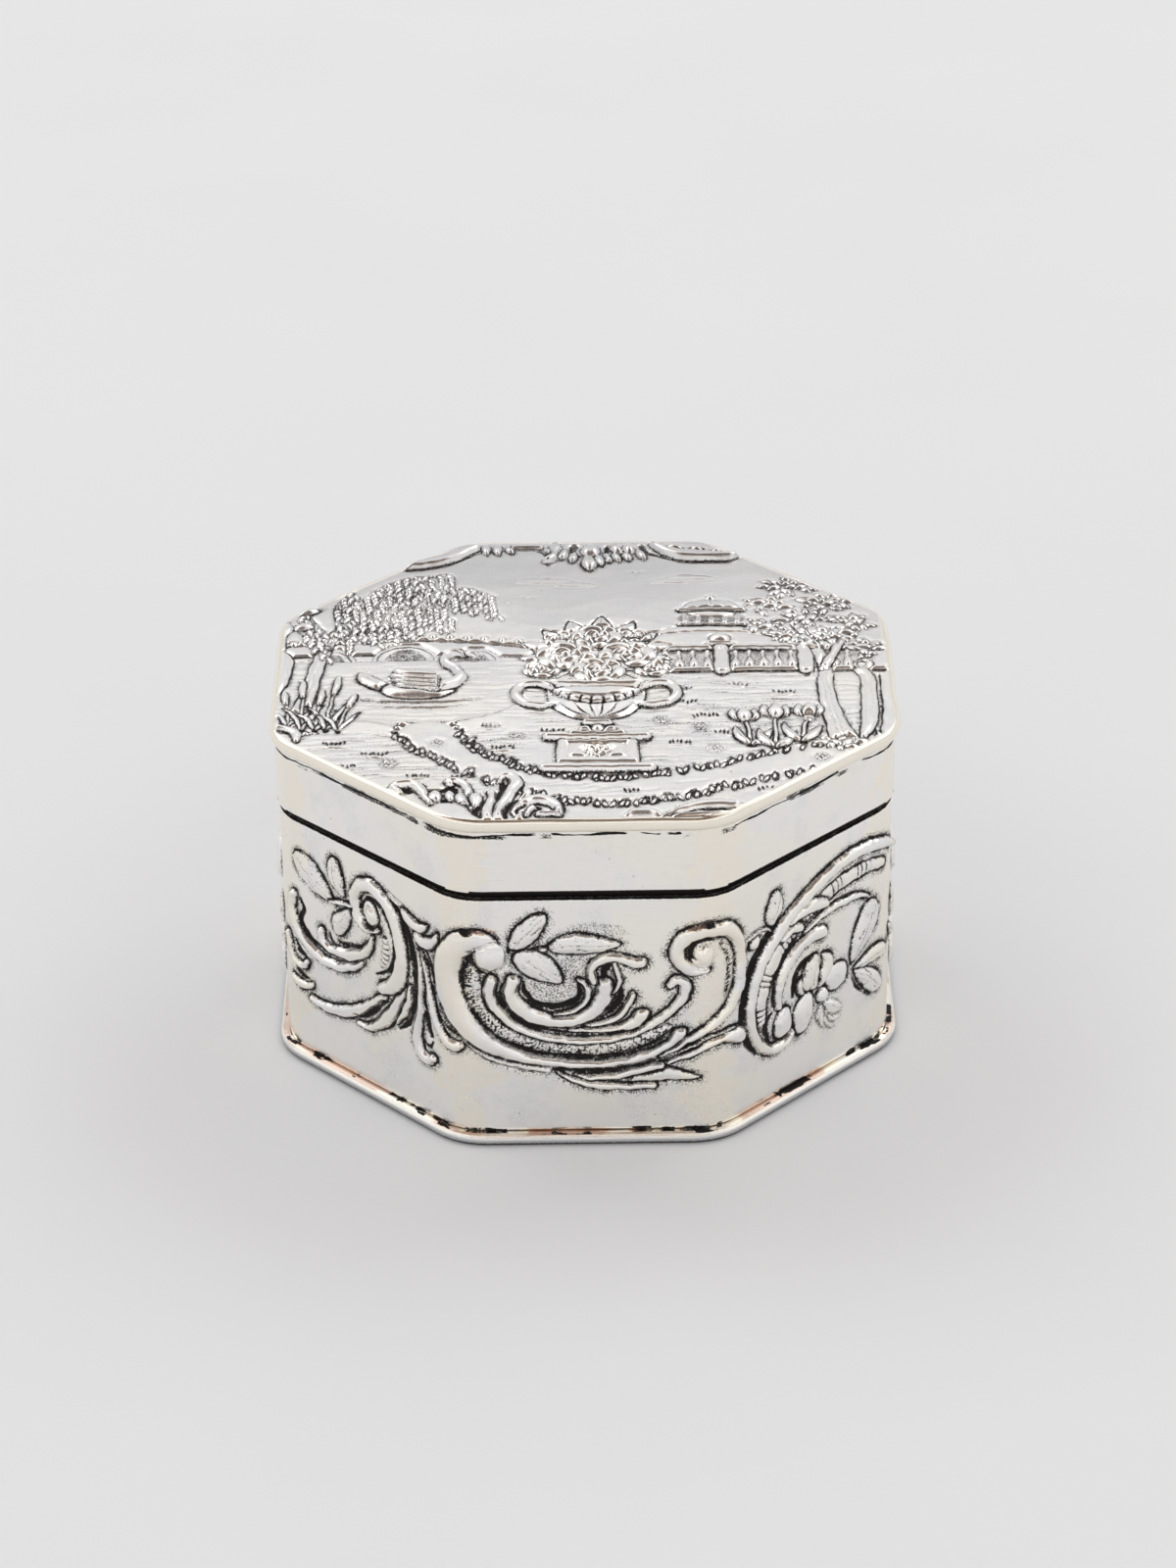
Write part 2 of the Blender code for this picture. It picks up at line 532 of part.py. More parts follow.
def lid_pivot():
    """The empty on the hinge axis that carries the lid, turned so that the front stands open."""
    pivot = bpy.data.objects.new("lid_pivot", None)
    bpy.context.scene.collection.objects.link(pivot)
    pivot.location = (0, AXIS_Y, AXIS_Z)
    pivot.rotation_euler = (-math.radians(LID_AJAR_DEG), 0, 0)
    return pivot


def hang_on(pivot, piece):
    """Parents a piece built about the shut lid's frame, so that its geometry turns on the pivot."""
    piece.parent = pivot
    return piece


def shift(builder):
    """Moves geometry from the box's frame into the pivot's, where the axis is the origin."""
    bmesh.ops.translate(builder, vec=(0, -AXIS_Y, -AXIS_Z), verts=builder.verts)
    return builder


def make_body():
    notch_low = SEAM_HEIGHT - KNUCKLE_RADIUS - NOTCH_CLEARANCE

    plate = rounded_edge(WALL_APOTHEM + BASE_PROUD, BASE_THICKNESS / 2, 0, BASE_THICKNESS)
    make_object("base_plate", capped_octagon(plate), BRIGHT_SILVER, 0.25)

    wall_low = BASE_THICKNESS + SOLDER_GAP
    wall = octagonal_tube(WALL_APOTHEM, WALL_SHEET, wall_low, SEAM_HEIGHT)
    base_wall = make_object("base_wall", wall, BRIGHT_SILVER, 0.22)
    fuse(base_wall, wall_forms())
    cut_hinge_notch(base_wall, notch_low, SEAM_HEIGHT + CUT_OVERRUN)

    bezel_apothem = WALL_APOTHEM - WALL_SHEET - SOLDER_GAP
    bezel_top = SEAM_HEIGHT + BEZEL_RISE
    bezel = octagonal_tube(bezel_apothem, BEZEL_SHEET, SEAM_HEIGHT - BEZEL_DEPTH, bezel_top)
    closing_bezel = make_object("closing_bezel", bezel, SATIN_SILVER, 0.35)
    cut_hinge_notch(closing_bezel, notch_low, bezel_top + CUT_OVERRUN)


def make_lid(pivot):
    skirt_low = SEAM_HEIGHT + CLOSING_GAP
    skirt_high = skirt_low + SKIRT_HEIGHT
    skirt = octagonal_tube(SKIRT_APOTHEM, WALL_SHEET, skirt_low, skirt_high)
    lid_skirt = make_object("lid_skirt", shift(skirt), BRIGHT_SILVER, 0.25)
    hang_on(pivot, lid_skirt)
    cut_hinge_notch(lid_skirt, -CUT_OVERRUN, KNUCKLE_RADIUS + NOTCH_CLEARANCE)

    underside = skirt_high + SOLDER_GAP
    top = underside + TOP_SHEET
    lip_low = top - LIP_HEIGHT
    lip_inner = SKIRT_APOTHEM + SOLDER_GAP
    profile = [(lip_inner, underside), (lip_inner, lip_low)]
    profile += rounded_edge(WALL_APOTHEM + LIP_PROUD, LIP_BULGE, lip_low, top)
    top_plate = make_object("lid_top_plate", shift(capped_octagon(profile)), WARM_SILVER, 0.2)
    hang_on(pivot, top_plate)
    fuse(top_plate, lid_forms())


def make_hinge(pivot):
    """Knuckles in turn on the box and on the lid, and the pin with its two peened heads."""
    pitch = (HINGE_LENGTH + KNUCKLE_GAP) / KNUCKLE_COUNT
    half = (pitch - KNUCKLE_GAP) / 2
    tube = (
        (-half, BORE_RADIUS),
        (-half, KNUCKLE_RADIUS),
        (half, KNUCKLE_RADIUS),
        (half, BORE_RADIUS),
    )
    names = (
        "base_knuckle_left",
        "lid_knuckle_left",
        "base_knuckle_centre",
        "lid_knuckle_right",
        "base_knuckle_right",
    )
    for place, name in enumerate(names):
        x = pitch * (place - (KNUCKLE_COUNT - 1) / 2)
        knuckle = make_object(name, turned_piece(tube, closed=True), BRIGHT_SILVER, 0.3)
        if name.startswith("lid"):
            knuckle.location = (x, 0, 0)
            hang_on(pivot, knuckle)
        else:
            knuckle.location = (x, AXIS_Y, AXIS_Z)

    shoulder = HINGE_LENGTH / 2 + PIN_CLEARANCE
    end = HINGE_LENGTH / 2 + PIN_HEAD_LENGTH
    right = [(shoulder, PIN_RADIUS)]
    for step in range(HEAD_STEPS):
        angle = math.pi / 2 * step / HEAD_STEPS
        x = shoulder + (end - shoulder) * math.sin(angle)
        right.append((x, PIN_HEAD_RADIUS * math.cos(angle)))
    left = [(-x, radius) for x, radius in reversed(right)]
    pin = make_object("hinge_pin", turned_piece(left + right, closed=False), SATIN_SILVER, 0.3)
    pin.location = (0, AXIS_Y, AXIS_Z)


clear_scene()
make_body()
lid = lid_pivot()
make_lid(lid)
make_hinge(lid)
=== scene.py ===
"""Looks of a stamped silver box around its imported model. Metres, +Z up; reliefs are drawn in mm."""

import math

import bpy
import numpy as np
from mathutils import Matrix, Vector


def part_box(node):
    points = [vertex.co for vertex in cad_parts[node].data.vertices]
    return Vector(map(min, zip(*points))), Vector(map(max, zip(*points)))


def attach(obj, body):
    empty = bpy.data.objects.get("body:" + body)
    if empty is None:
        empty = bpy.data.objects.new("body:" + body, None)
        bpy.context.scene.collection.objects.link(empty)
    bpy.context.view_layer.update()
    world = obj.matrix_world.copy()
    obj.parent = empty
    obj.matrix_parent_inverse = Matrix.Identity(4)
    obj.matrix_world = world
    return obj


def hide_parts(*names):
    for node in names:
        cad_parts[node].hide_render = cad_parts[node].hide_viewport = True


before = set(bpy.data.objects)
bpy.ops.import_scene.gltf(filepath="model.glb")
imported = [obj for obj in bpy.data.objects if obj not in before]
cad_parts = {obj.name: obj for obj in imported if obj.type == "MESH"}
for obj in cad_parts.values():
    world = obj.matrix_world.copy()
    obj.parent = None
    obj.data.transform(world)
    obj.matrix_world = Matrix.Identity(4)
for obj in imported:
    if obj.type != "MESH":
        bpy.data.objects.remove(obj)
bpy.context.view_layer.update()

MM = 0.001

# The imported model's sizes, in mm
WALL_LOW, WALL_SEAM = (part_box("base_wall")[place][2] / MM for place in (0, 1))
PLATE_TOP = 1.0  # height of the base plate's top
WALL_APOTHEM = 25.0
WALL_SHEET = 0.6
BEZEL_OUT = 24.3  # apothem of the bezel's outside
CORNER_RADIUS = 5.0
HALF_FACE = WALL_APOTHEM * math.tan(math.pi / 8)  # from a face's middle to its sharp corner
CORNER_REACH = CORNER_RADIUS * math.tan(math.pi / 8)  # from the sharp corner to where the bend starts
NOTCH_HALF, NOTCH_LOW = 7.4, WALL_SEAM - 1.2  # the cut for the hinge barrel in the back of the wall

AXIS_Y, AXIS_Z = 25.3, WALL_SEAM  # the hinge
AJAR = math.radians(0.80)
LID_TOP = WALL_SEAM + 6.65  # heights of the shut lid's plate: its top, its underside and its lip's lower edge
LID_UNDER, LIP_LOW = LID_TOP - 0.5, LID_TOP - 1.1
LIP_OUT, LIP_BULGE, LIP_IN = 25.6, 0.32, 25.26  # apothems of the lip's faces, and how far its edge swells


# Reliefs
STEP = 0.06  # mm between the samples of a relief
THINNEST = 0.02  # the least half width of a band
FIELD_REACH = 1.2  # mm round a form within which the surface beside it changes
HALO, HALO_REACH = 0.60, 0.80  # how dark the grime beside a form is, and how far it spreads in mm
HALO_TOP = 0.08  # mm of height by which the grime has thinned out
GROOVE_WIDTH = 0.18  # mm beside a form over which the ground is pushed down
SEAM_WIDTH = 0.07  # mm inside a form's edge that the dark line covers
VEIN_WIDTH = 0.07  # mm, of a leaf's midrib
SINK_SLOPE = 0.045  # how soft a sunk channel's edge is, in mm
GRAIN_PITCH = 0.24  # mm between the dots of a matted band
GRAIN_SIDE = -1  # the side of a matted band that is darker, seen along it
BROAD_LEAF = 0.75  # mm of half width from which a leaf's blade shows its marks
MARK_PITCH = 0.42  # mm between those marks


class Relief:
    """Height, tarnish with some painted shade, and brown tint of a stamped surface on one grid. line_scale
    widens the dark lines.
    """

    def __init__(self, low_x, high_x, low_y, high_y, line_scale=1.0):
        self.line_scale = line_scale
        self.low_x = low_x
        self.low_y = low_y
        self.count_x = int(round((high_x - low_x) / STEP)) + 1
        self.count_y = int(round((high_y - low_y) / STEP)) + 1
        self.height, self.dark, self.warm = np.zeros((3, self.count_y, self.count_x))
        self.x = low_x + STEP * np.arange(self.count_x)
        self.y = low_y + STEP * np.arange(self.count_y)

    def window(self, low, high, margin):
        """Slices and coordinates of the samples within a margin of a box, or None off the grid."""
        left = max(0, int((low[0] - margin - self.low_x) / STEP))
        right = min(self.count_x, int((high[0] + margin - self.low_x) / STEP) + 2)
        bottom = max(0, int((low[1] - margin - self.low_y) / STEP))
        top = min(self.count_y, int((high[1] + margin - self.low_y) / STEP) + 2)
        if right <= left or top <= bottom:
            return None
        x, y = np.meshgrid(self.x[left:right], self.y[bottom:top])
        return (slice(bottom, top), slice(left, right)), x, y

    def sample(self, field, x, y):
        """Bilinear values of a field at any places."""
        u = np.clip((x - self.low_x) / STEP, 0, self.count_x - 1.001)
        v = np.clip((y - self.low_y) / STEP, 0, self.count_y - 1.001)
        i = u.astype(int)
        j = v.astype(int)
        u = u - i
        v = v - j
        low = field[j, i] * (1 - u) + field[j, i + 1] * u
        high = field[j + 1, i] * (1 - u) + field[j + 1, i + 1] * u
        return low * (1 - v) + high * v


def smooth_path(points, per_span=8):
    """Rows of (x, y, half width) along a Catmull-Rom curve through the given rows."""
    rows = np.array(points, float)
    ends = np.vstack([2 * rows[0] - rows[1], rows, 2 * rows[-1] - rows[-2]])
    ends[:, 2] = np.maximum(ends[:, 2], THINNEST)
    t = np.linspace(0, 1, per_span, endpoint=False)[:, None]
    out = []
    for place in range(len(rows) - 1):
        a, b, c, d = ends[place:place + 4]
        out.append(0.5 * (2 * b + (c - a) * t + (2 * a - 5 * b + 4 * c - d) * t ** 2
                          + (3 * b - a - 3 * c + d) * t ** 3))
    out.append(rows[-1:])
    path = np.vstack(out)
    path[:, 2] = np.maximum(path[:, 2], THINNEST)
    return path


def edge_field(x, y, path):
    """For each sample: distance outside the band's edge, half width, distance across and length along.

    The path's whole length comes last."""
    nearest = np.full(x.shape, 1e3)
    width = np.full(x.shape, 0.1)
    across = np.zeros(x.shape)
    along = np.zeros(x.shape)
    run = 0.0
    for (ax, ay, aw), (bx, by, bw) in zip(path, path[1:]):
        length = math.hypot(bx - ax, by - ay)
        if length < 1e-6:
            continue
        grow = max(aw, bw) + FIELD_REACH
        cols = np.searchsorted(x[0], [min(ax, bx) - grow, max(ax, bx) + grow])
        rows = np.searchsorted(y[:, 0], [min(ay, by) - grow, max(ay, by) + grow])
        part = (slice(rows[0], rows[1]), slice(cols[0], cols[1]))
        px = x[part] - ax
        py = y[part] - ay
        dx = (bx - ax) / length
        dy = (by - ay) / length
        t = np.clip((px * dx + py * dy) / length, 0, 1)
        gap = np.hypot(px - t * dx * length, py - t * dy * length)
        w = aw + (bw - aw) * t
        e = gap - w
        better = e < nearest[part]
        nearest[part] = np.where(better, e, nearest[part])
        width[part] = np.where(better, w, width[part])
        side = np.where(dx * py - dy * px >= 0, 1.0, -1.0)
        across[part] = np.where(better, side * gap, across[part])
        along[part] = np.where(better, run + t * length, along[part])
        run += length
    return nearest, width, across, along, run


def lattice(x, y, pitch, seed):
    """Distance to the nearest of a jittered set of dots, in pitches, the same each run."""
    source = np.random.RandomState(seed)
    jitter = source.uniform(0.15, 0.85, (64, 64, 2))
    u = x / pitch
    v = y / pitch
    i = np.floor(u).astype(int)
    j = np.floor(v).astype(int)
    best = np.full(x.shape, 9.0)
    for di in (-1, 0, 1):
        for dj in (-1, 0, 1):
            spot = jitter[(j + dj) % 64, (i + di) % 64]
            best = np.minimum(best, np.hypot(i + di + spot[..., 0] - u, j + dj + spot[..., 1] - v))
    return best


def near_path(relief, path, margin):
    """The part of a relief round a path, its coordinates and edge_field's values, or None off the relief."""
    found = relief.window(path[:, :2].min(axis=0), path[:, :2].max(axis=0), path[:, 2].max() + margin)
    if not found:
        return None
    part, x, y = found
    return part, x, y, *edge_field(x, y, path)


def domed(edge, width):
    """A round cross section: 0 at a band's edge, 1 in its middle."""
    return np.sqrt(np.clip(1 - (1 - np.clip(-edge / width, 0, 1)) ** 2, 0, 1))


def bell(distance, width):
    """1 at no distance, falling off softly over the width."""
    return np.exp(-(distance / width) ** 2)


def press(relief, part, edge, inside, dark_inside, groove=0.12, line=0.95, line_width=0.29):
    """Lays a raised form over what is there, with a sunk, dark line and a grey halo round it."""
    height = relief.height[part]
    outside = np.maximum(edge, 0)
    near = bell(outside, GROOVE_WIDTH)
    trace = line * bell(outside, line_width * relief.line_scale)
    halo = HALO * line * bell(outside, HALO_REACH * relief.line_scale)
    halo = halo * np.exp(-np.maximum(height, 0) / HALO_TOP)
    seam = 0.7 * line * bell(np.minimum(edge, 0), SEAM_WIDTH)
    relief.height[part] = np.where(edge < 0, inside, height * (1 - 0.8 * near) - groove * near)
    around = np.maximum(relief.dark[part], np.maximum(trace, halo))
    relief.dark[part] = np.where(edge < 0, np.maximum(dark_inside, seam), around)


def band(relief, points, height, flat=0.5, base=0.0, ribs=None, grain=0.0, dome=0.45, **edging):
    """A raised band along a curve. points are rows of (x, y, half width).

    flat is the share of the width that slopes, dome how round the top is; ribs are (pitch, depth, group)."""
    path = smooth_path(points)
    found = near_path(relief, path, FIELD_REACH)
    if not found:
        return
    part, x, y, edge, width, across, along, _ = found
    level = np.clip(-edge / max(flat * path[:, 2].max(), 0.05), 0, 1)
    level = level * level * (3 - 2 * level)
    inside = base + height * (dome * domed(edge, width) + (1 - dome) * level)
    dark_inside = np.zeros(x.shape)
    if ribs:
        pitch, depth, group = ribs
        wave = 0.5 - 0.5 * np.cos(2 * np.pi * along / pitch)
        shown = np.clip(np.sin(2 * np.pi * along / group) * 3 + 0.6, 0, 1) if group else np.ones(x.shape)
        inside = inside - depth * (1 - wave) * shown
        dark_inside = 0.85 * shown * np.clip(1 - 2.2 * wave, 0, 1)
    if grain:
        dots = lattice(x, y, GRAIN_PITCH, 5)
        inside = inside + grain * (0.5 - dots)
        shade = 0.27 + 0.3 * np.clip(across / width, -1, 1) * GRAIN_SIDE
        dark_inside = np.maximum(dark_inside, shade + 0.62 * np.clip((dots - 0.35) * 3.6, 0, 1))
    press(relief, part, edge, inside, dark_inside, **edging)


def bar(relief, x, y, half_long, half_wide, height, **looks):
    """A level raised bar."""
    band(relief, [(x - half_long, y, half_wide), (x + half_long, y, half_wide)], height, **looks)


def sink(relief, points, depth, dark=0.95):
    """A sunk, tarnished channel along a curve."""
    found = near_path(relief, smooth_path(points), 0.4)
    if not found:
        return
    part, edge = found[0], found[3]
    shape = 1 / (1 + np.exp(np.clip(edge / SINK_SLOPE, -30, 30)))
    relief.height[part] = relief.height[part] * (1 - shape) - depth * shape
    relief.dark[part] = np.maximum(relief.dark[part], dark * shape)


def bead(relief, x0, y0, rx, ry, height, turn=0.0, base=0.0, crease=None, **edging):
    """A domed oval, with a crease across it where its depth is given."""
    big = max(rx, ry)
    found = relief.window((x0 - big, y0 - big), (x0 + big, y0 + big), FIELD_REACH)
    if not found:
        return
    part, x, y = found
    c, s = math.cos(turn), math.sin(turn)
    u = ((x - x0) * c + (y - y0) * s) / rx
    v = ((y - y0) * c - (x - x0) * s) / ry
    r = np.hypot(u, v)
    inside = base + height * np.clip(1 - r * r, 0, 1) ** 0.7
    dark_inside = np.zeros(x.shape)
    if crease:
        cut = bell(u * rx, 0.08) * np.clip(1 - np.abs(v), 0, 1)
        inside = inside - crease * cut
        dark_inside = 0.5 * cut
    press(relief, part, (r - 1) * min(rx, ry), inside, dark_inside, **edging)


def stain(relief, x0, y0, rx, ry, dark, warm):
    """A soft-edged oval patch of tarnish."""
    part, x, y = relief.window((x0 - rx, y0 - ry), (x0 + rx, y0 + ry), 0.3)
    inside = np.clip(3 - 3 * np.hypot((x - x0) / rx, (y - y0) / ry), 0, 1)
    relief.dark[part] = np.maximum(relief.dark[part], dark * inside)
    relief.warm[part] = np.maximum(relief.warm[part], warm * inside)


def leaf(relief, points, half_width, height, vein=0.0, base=0.0, blunt=0.75, **edging):
    """A pointed leaf whose width swells along a spine of (x, y) pairs. vein is its midrib's depth."""
    path = smooth_path([(x, y, 0.1) for x, y in points])
    share = np.linspace(0, 1, len(path))
    path[:, 2] = np.maximum(half_width * np.sin(np.pi * share ** blunt) ** 0.8, 0.03)
    found = near_path(relief, path, FIELD_REACH)
    if not found:
        return
    part, x, y, edge, width, across, along, run = found
    widest = path[:, 2].max()
    rise = domed(edge, width)
    cut = bell(across, VEIN_WIDTH)
    inside = base + height * rise * np.clip(width / widest, 0, 1) ** 0.5 - vein * cut * rise
    share = along / run
    midrib = 0.62 * cut * (vein > 0) * np.clip(np.sin(np.pi * share) * 2, 0, 1)
    # painted shade: one side of the leaf, and its base (the 0.7 term below), are darkened
    side = 0.42 * np.clip(across / width, 0, 1) ** 2
    dark_inside = np.maximum.reduce([midrib, 0.7 * np.exp(-share / 0.10), side])
    if widest > BROAD_LEAF:
        marks = lattice(along * 0.42, across, MARK_PITCH, 9)
        dark_inside = np.maximum(dark_inside, 0.62 * np.clip((marks - 0.50) * 3.4, 0, 1))
        inside = inside - 0.05 * np.clip((marks - 0.42) * 3, 0, 1)
    press(relief, part, edge, inside, dark_inside, **edging)


def blur(field, radius):
    """A soft blur by three box means, radius in samples."""
    out = field
    for axis in (0, 1):
        for _ in range(3):
            pad = [(0, 0), (0, 0)]
            pad[axis] = (radius + 1, radius)
            total = np.cumsum(np.pad(out, pad, mode="edge"), axis=axis)
            size = field.shape[axis]
            high = np.take(total, np.arange(2 * radius + 1, 2 * radius + 1 + size), axis=axis)
            low = np.take(total, np.arange(size), axis=axis)
            out = (high - low) / (2 * radius + 1)
    return out


# Meshes
def mesh_from(name, places, faces, uvs, marks):
    """A smooth closed mesh in metres from mm places. faces and uvs hold arrays of equal-sided faces."""
    mesh = bpy.data.meshes.new(name)
    mesh.vertices.add(len(places))
    mesh.vertices.foreach_set("co", (places * MM).astype(np.float32).ravel())
    loops = np.concatenate([f.ravel() for f in faces])
    sizes = np.concatenate([np.full(len(f), f.shape[1]) for f in faces])
    mesh.loops.add(len(loops))
    mesh.loops.foreach_set("vertex_index", loops.astype(np.int32))
    mesh.polygons.add(len(sizes))
    mesh.polygons.foreach_set("loop_start", np.concatenate([[0], np.cumsum(sizes)[:-1]]).astype(np.int32))
    layer = mesh.uv_layers.new(name="OFBake")
    flat = np.concatenate([u.reshape(-1, 2) for u in uvs])
    layer.uv.foreach_set("vector", flat.astype(np.float32).ravel())
    for mark, values in marks.items():
        mesh.attributes.new(mark, "FLOAT", "POINT").data.foreach_set("value", values.astype(np.float32))
    mesh.update()
    mesh.validate()
    mesh.shade_smooth()
    piece = bpy.data.objects.new(name, mesh)
    bpy.context.scene.collection.objects.link(piece)
    return piece


def strip_faces(low, high):
    """Quads between two closed rows of vertex numbers, counter-clockwise seen from outside."""
    return np.stack([low, np.roll(low, -1), np.roll(high, -1), high], axis=1)


def front_scrolls(r):
    """The great C-scroll of a main face, its inner bands, its sprig and the wisps below."""
    # tarnished ground in the heart of the scroll and above the long leaf
    stain(r, -1.6, 15, 4.6, 3.6, .42, 0)
    stain(r, .6, 19.7, 3.4, 1.1, .42, 0)
    # soft outer roll under the great scroll
    band(r, [(-12.6, 13.2, .3), (-11.6, 11.3, .4), (-10, 9.6, .45), (-8, 8.1, .45), (-5.6, 7.1, .4),
        (-3.2, 6.45, .25)], .22, line=.75)
    # matted crescent
    band(r, [(-9.2, 16.9, .5), (-9.4, 15.2, .75), (-9, 13.3, .85), (-8, 11.5, .95), (-6.4, 10.1, .95),
        (-4.2, 9.1, .85), (-1.5, 8.5, .75), (1.5, 8.5, .7), (4.2, 9.2, .6), (6.4, 10.3, .35)], .10, grain=.10,
        line=.8, dome=.3)
    # great scroll
    band(r, [(-7.3, 17.9, .5), (-7.9, 18.6, .75), (-9, 18.95, .95), (-10.4, 18.3, 1.15), (-11.4, 16.9, 1.3),
        (-11.7, 15.2, 1.35), (-11.35, 13.3, 1.3), (-10.35, 11.35, 1.15), (-8.8, 9.75, .95), (-6.8, 8.5, .72),
        (-4.6, 7.7, .52), (-2.2, 7.2, .4), (.5, 7.08, .34), (3, 7.4, .33), (5.2, 8.05, .38), (6.7, 8.95, .45),
        (7.45, 10, .5)], .55, dome=.85)
    sink(r, [(-9.5, 17.2, .25), (-10, 16.2, .14), (-10.1, 15, .1), (-9.9, 13.4, .12), (-9, 11.7, .2),
        (-7.6, 10, .2), (-5.6, 8.75, .22), (-3, 7.95, .22), (0, 7.7, .25), (3, 7.95, .22), (5.2, 8.9, .16),
        (6.5, 10, .1)], .16, dark=.85)
    bead(r, -7.7, 17.35, 1.3, 1.35, .6, line=.5)
    sink(r, [(-9.5, 17.9, .05), (-9.25, 17.3, .14), (-9, 16.6, .2), (-8.5, 16, .16), (-7.7, 15.75, .06)], .1)
    sink(r, [(-8.9, 17.9, .03), (-8.4, 18.15, .06), (-7.8, 18, .03)], -.42, dark=.45)
    stain(r, -8.2, 19.85, 1.3, .3, .44, 1)
    stain(r, -9.75, 19.75, .8, .36, .9, 1)
    # crescent of shade under the scroll's foot
    sink(r, [(-2.8, 6.5, .12), (-1.2, 6.4, .25), (.6, 6.25, .36), (2.4, 6.4, .34), (4.2, 6.85, .24),
        (5.6, 7.35, .15)], .16)
    # second band with the hooked end
    band(r, [(-7.7, 15.2, .45), (-7.9, 14, .45), (-7.35, 12.5, .45), (-6.1, 11.05, .4), (-4.2, 9.95, .33),
        (-1.6, 9.38, .3), (1, 9.4, .3), (3.5, 10, .33), (5.4, 11, .38), (6.8, 12.2, .42), (7.65, 13.5, .48),
        (7.7, 14.6, .5), (7.1, 15, .42), (6.55, 14.6, .3)], .42)
    # fingers of the inner bands
    band(r, [(-1.5, 10.25, .12), (.6, 10.25, .2), (2.4, 10.5, .3), (3.7, 11, .48), (4.35, 11.7, .6)], .42)
    band(r, [(-.6, 10.85, .1), (1, 10.95, .2), (2.3, 11.5, .26), (3.1, 12.5, .3), (3.55, 13.6, .3)], .40)
    sink(r, [(.6, 11.35, .06), (1.6, 11.8, .2), (2.4, 12.9, .3), (2.75, 14.1, .2)], .16)
    # deep ring and inner band
    band(r, [(-5.9, 15.1, .55), (-6.2, 13.95, .62), (-5.65, 12.75, .68), (-4.4, 11.75, .68),
        (-2.6, 11.25, .6), (-.8, 11.35, .55), (.55, 12.2, .62), (1.35, 13.5, .75), (1.35, 14.7, .6)], .45)
    sink(r, [(-6.85, 14.9, .12), (-7, 13.7, .2), (-6.4, 12.3, .22), (-5.1, 11.1, .22), (-3.2, 10.35, .18),
        (-1, 10, .16), (1.2, 10, .14), (2.8, 10.4, .08)], .16)
    band(r, [(-.75, 15.15, .12), (-.2, 14.75, .2), (.05, 13.8, .25), (-.4, 12.75, .22), (-1.6, 12.05, .15),
        (-2.8, 11.95, .08)], .34)
    sink(r, [(-5.1, 15, .12), (-5, 13.9, .25), (-4.2, 12.95, .3), (-2.9, 12.6, .3), (-1.6, 12.75, .3),
        (-.8, 13.4, .28), (-.65, 14.4, .2), (-.8, 14.9, .08)], .20)
    # crest
    band(r, [(.45, 14.9, .3), (.25, 15.9, .35), (.75, 16.75, .42), (1.75, 17.2, .42), (2.8, 17.05, .42),
        (3.7, 16.75, .5), (4.25, 16.75, .5)], .42)
    sink(r, [(1.2, 15.3, .25), (1.45, 16.1, .3), (2.1, 16.5, .2)], .15)
    band(r, [(2.15, 16.7, .12), (2.3, 15.9, .2), (2.55, 15, .2), (2.35, 14.2, .15), (2.1, 13.8, .08)], .3)
    # sprig
    leaf(r, [(-6, 18.1), (-5, 19.4), (-4.1, 20.5), (-3.35, 21.3)], .95, .42, vein=.08)
    band(r, [(-6.1, 17.9, .1), (-4.6, 17.9, .14), (-3, 18.25, .16), (-2.2, 18.45, .2)], .32)
    leaf(r, [(-2.9, 18.2), (-1.2, 18.55), (.8, 18.45), (2.7, 18.4)], .95, .45, vein=.08)
    leaf(r, [(-5.4, 17.45), (-4.4, 16.75), (-3.2, 15.9), (-2.1, 15)], 1.2, .45, vein=.1)
    # right volute and its long arm
    band(r, [(9.5, 15.95, .3), (8.3, 15.95, .5), (7.35, 16.8, .62), (7.15, 18, .66), (7.95, 19.1, .64),
        (9.4, 19.5, .62), (10.9, 19.45, .66), (12.1, 18.7, .64), (12.8, 17.3, .62), (13, 15.5, .6),
        (12.85, 13.8, .6), (12.15, 12.3, .58), (10.9, 11.1, .46), (9.6, 10.25, .38), (8.3, 9.4, .3),
        (7, 8.5, .22), (5.9, 7.75, .14)], .5, dome=.85)
    bead(r, 9.25, 17.05, 1, 1, .5, line=.4)
    sink(r, [(10.2, 18.55, .08), (9.4, 18.7, .2), (8.6, 18.45, .26), (8.2, 17.8, .24), (8.25, 17.2, .18),
        (8.65, 16.9, .06)], .18)
    sink(r, [(9.75, 18.15, .04), (9.3, 18.05, .1), (9.15, 17.7, .05)], 0, dark=.8)
    stain(r, 8.35, 19.95, 1.1, .34, .44, 1)
    stain(r, 9.6, 20.1, .7, .36, .9, 1)
    band(r, [(10.9, 18, .2), (11.6, 17, .3), (11.85, 15.6, .32), (11.75, 14.2, .28), (11.35, 13.2, .15)], .06,
        grain=.10, groove=.05, line=.5, dome=.3)
    # stem with a flared end, across the corner
    band(r, [(5.8, 7.4, .06), (8.2, 8.55, .1), (10.2, 9.4, .12), (12, 9.55, .12), (12.9, 9.35, .1)], .2)
    band(r, [(6.2, 6.95, .12), (8.2, 7.85, .25), (10, 8.75, .34), (11.6, 8.85, .42), (12.6, 8.6, .6),
        (13.1, 8.4, .75)], .38)
    # wisps under the foot
    band(r, [(-2.6, 6.3, .06), (-1.2, 5.5, .2), (.4, 5, .3), (2.6, 4.85, .3), (5.2, 4.85, .32)], .3)
    leaf(r, [(3.2, 5.55), (5.2, 5.95), (7.2, 5.9), (9.2, 5.55)], .62, .3)
    band(r, [(-1.1, 6, .06), (.6, 5.75, .25), (2.6, 5.95, .3), (4.6, 6.5, .35), (5.9, 6.75, .3)], .34)


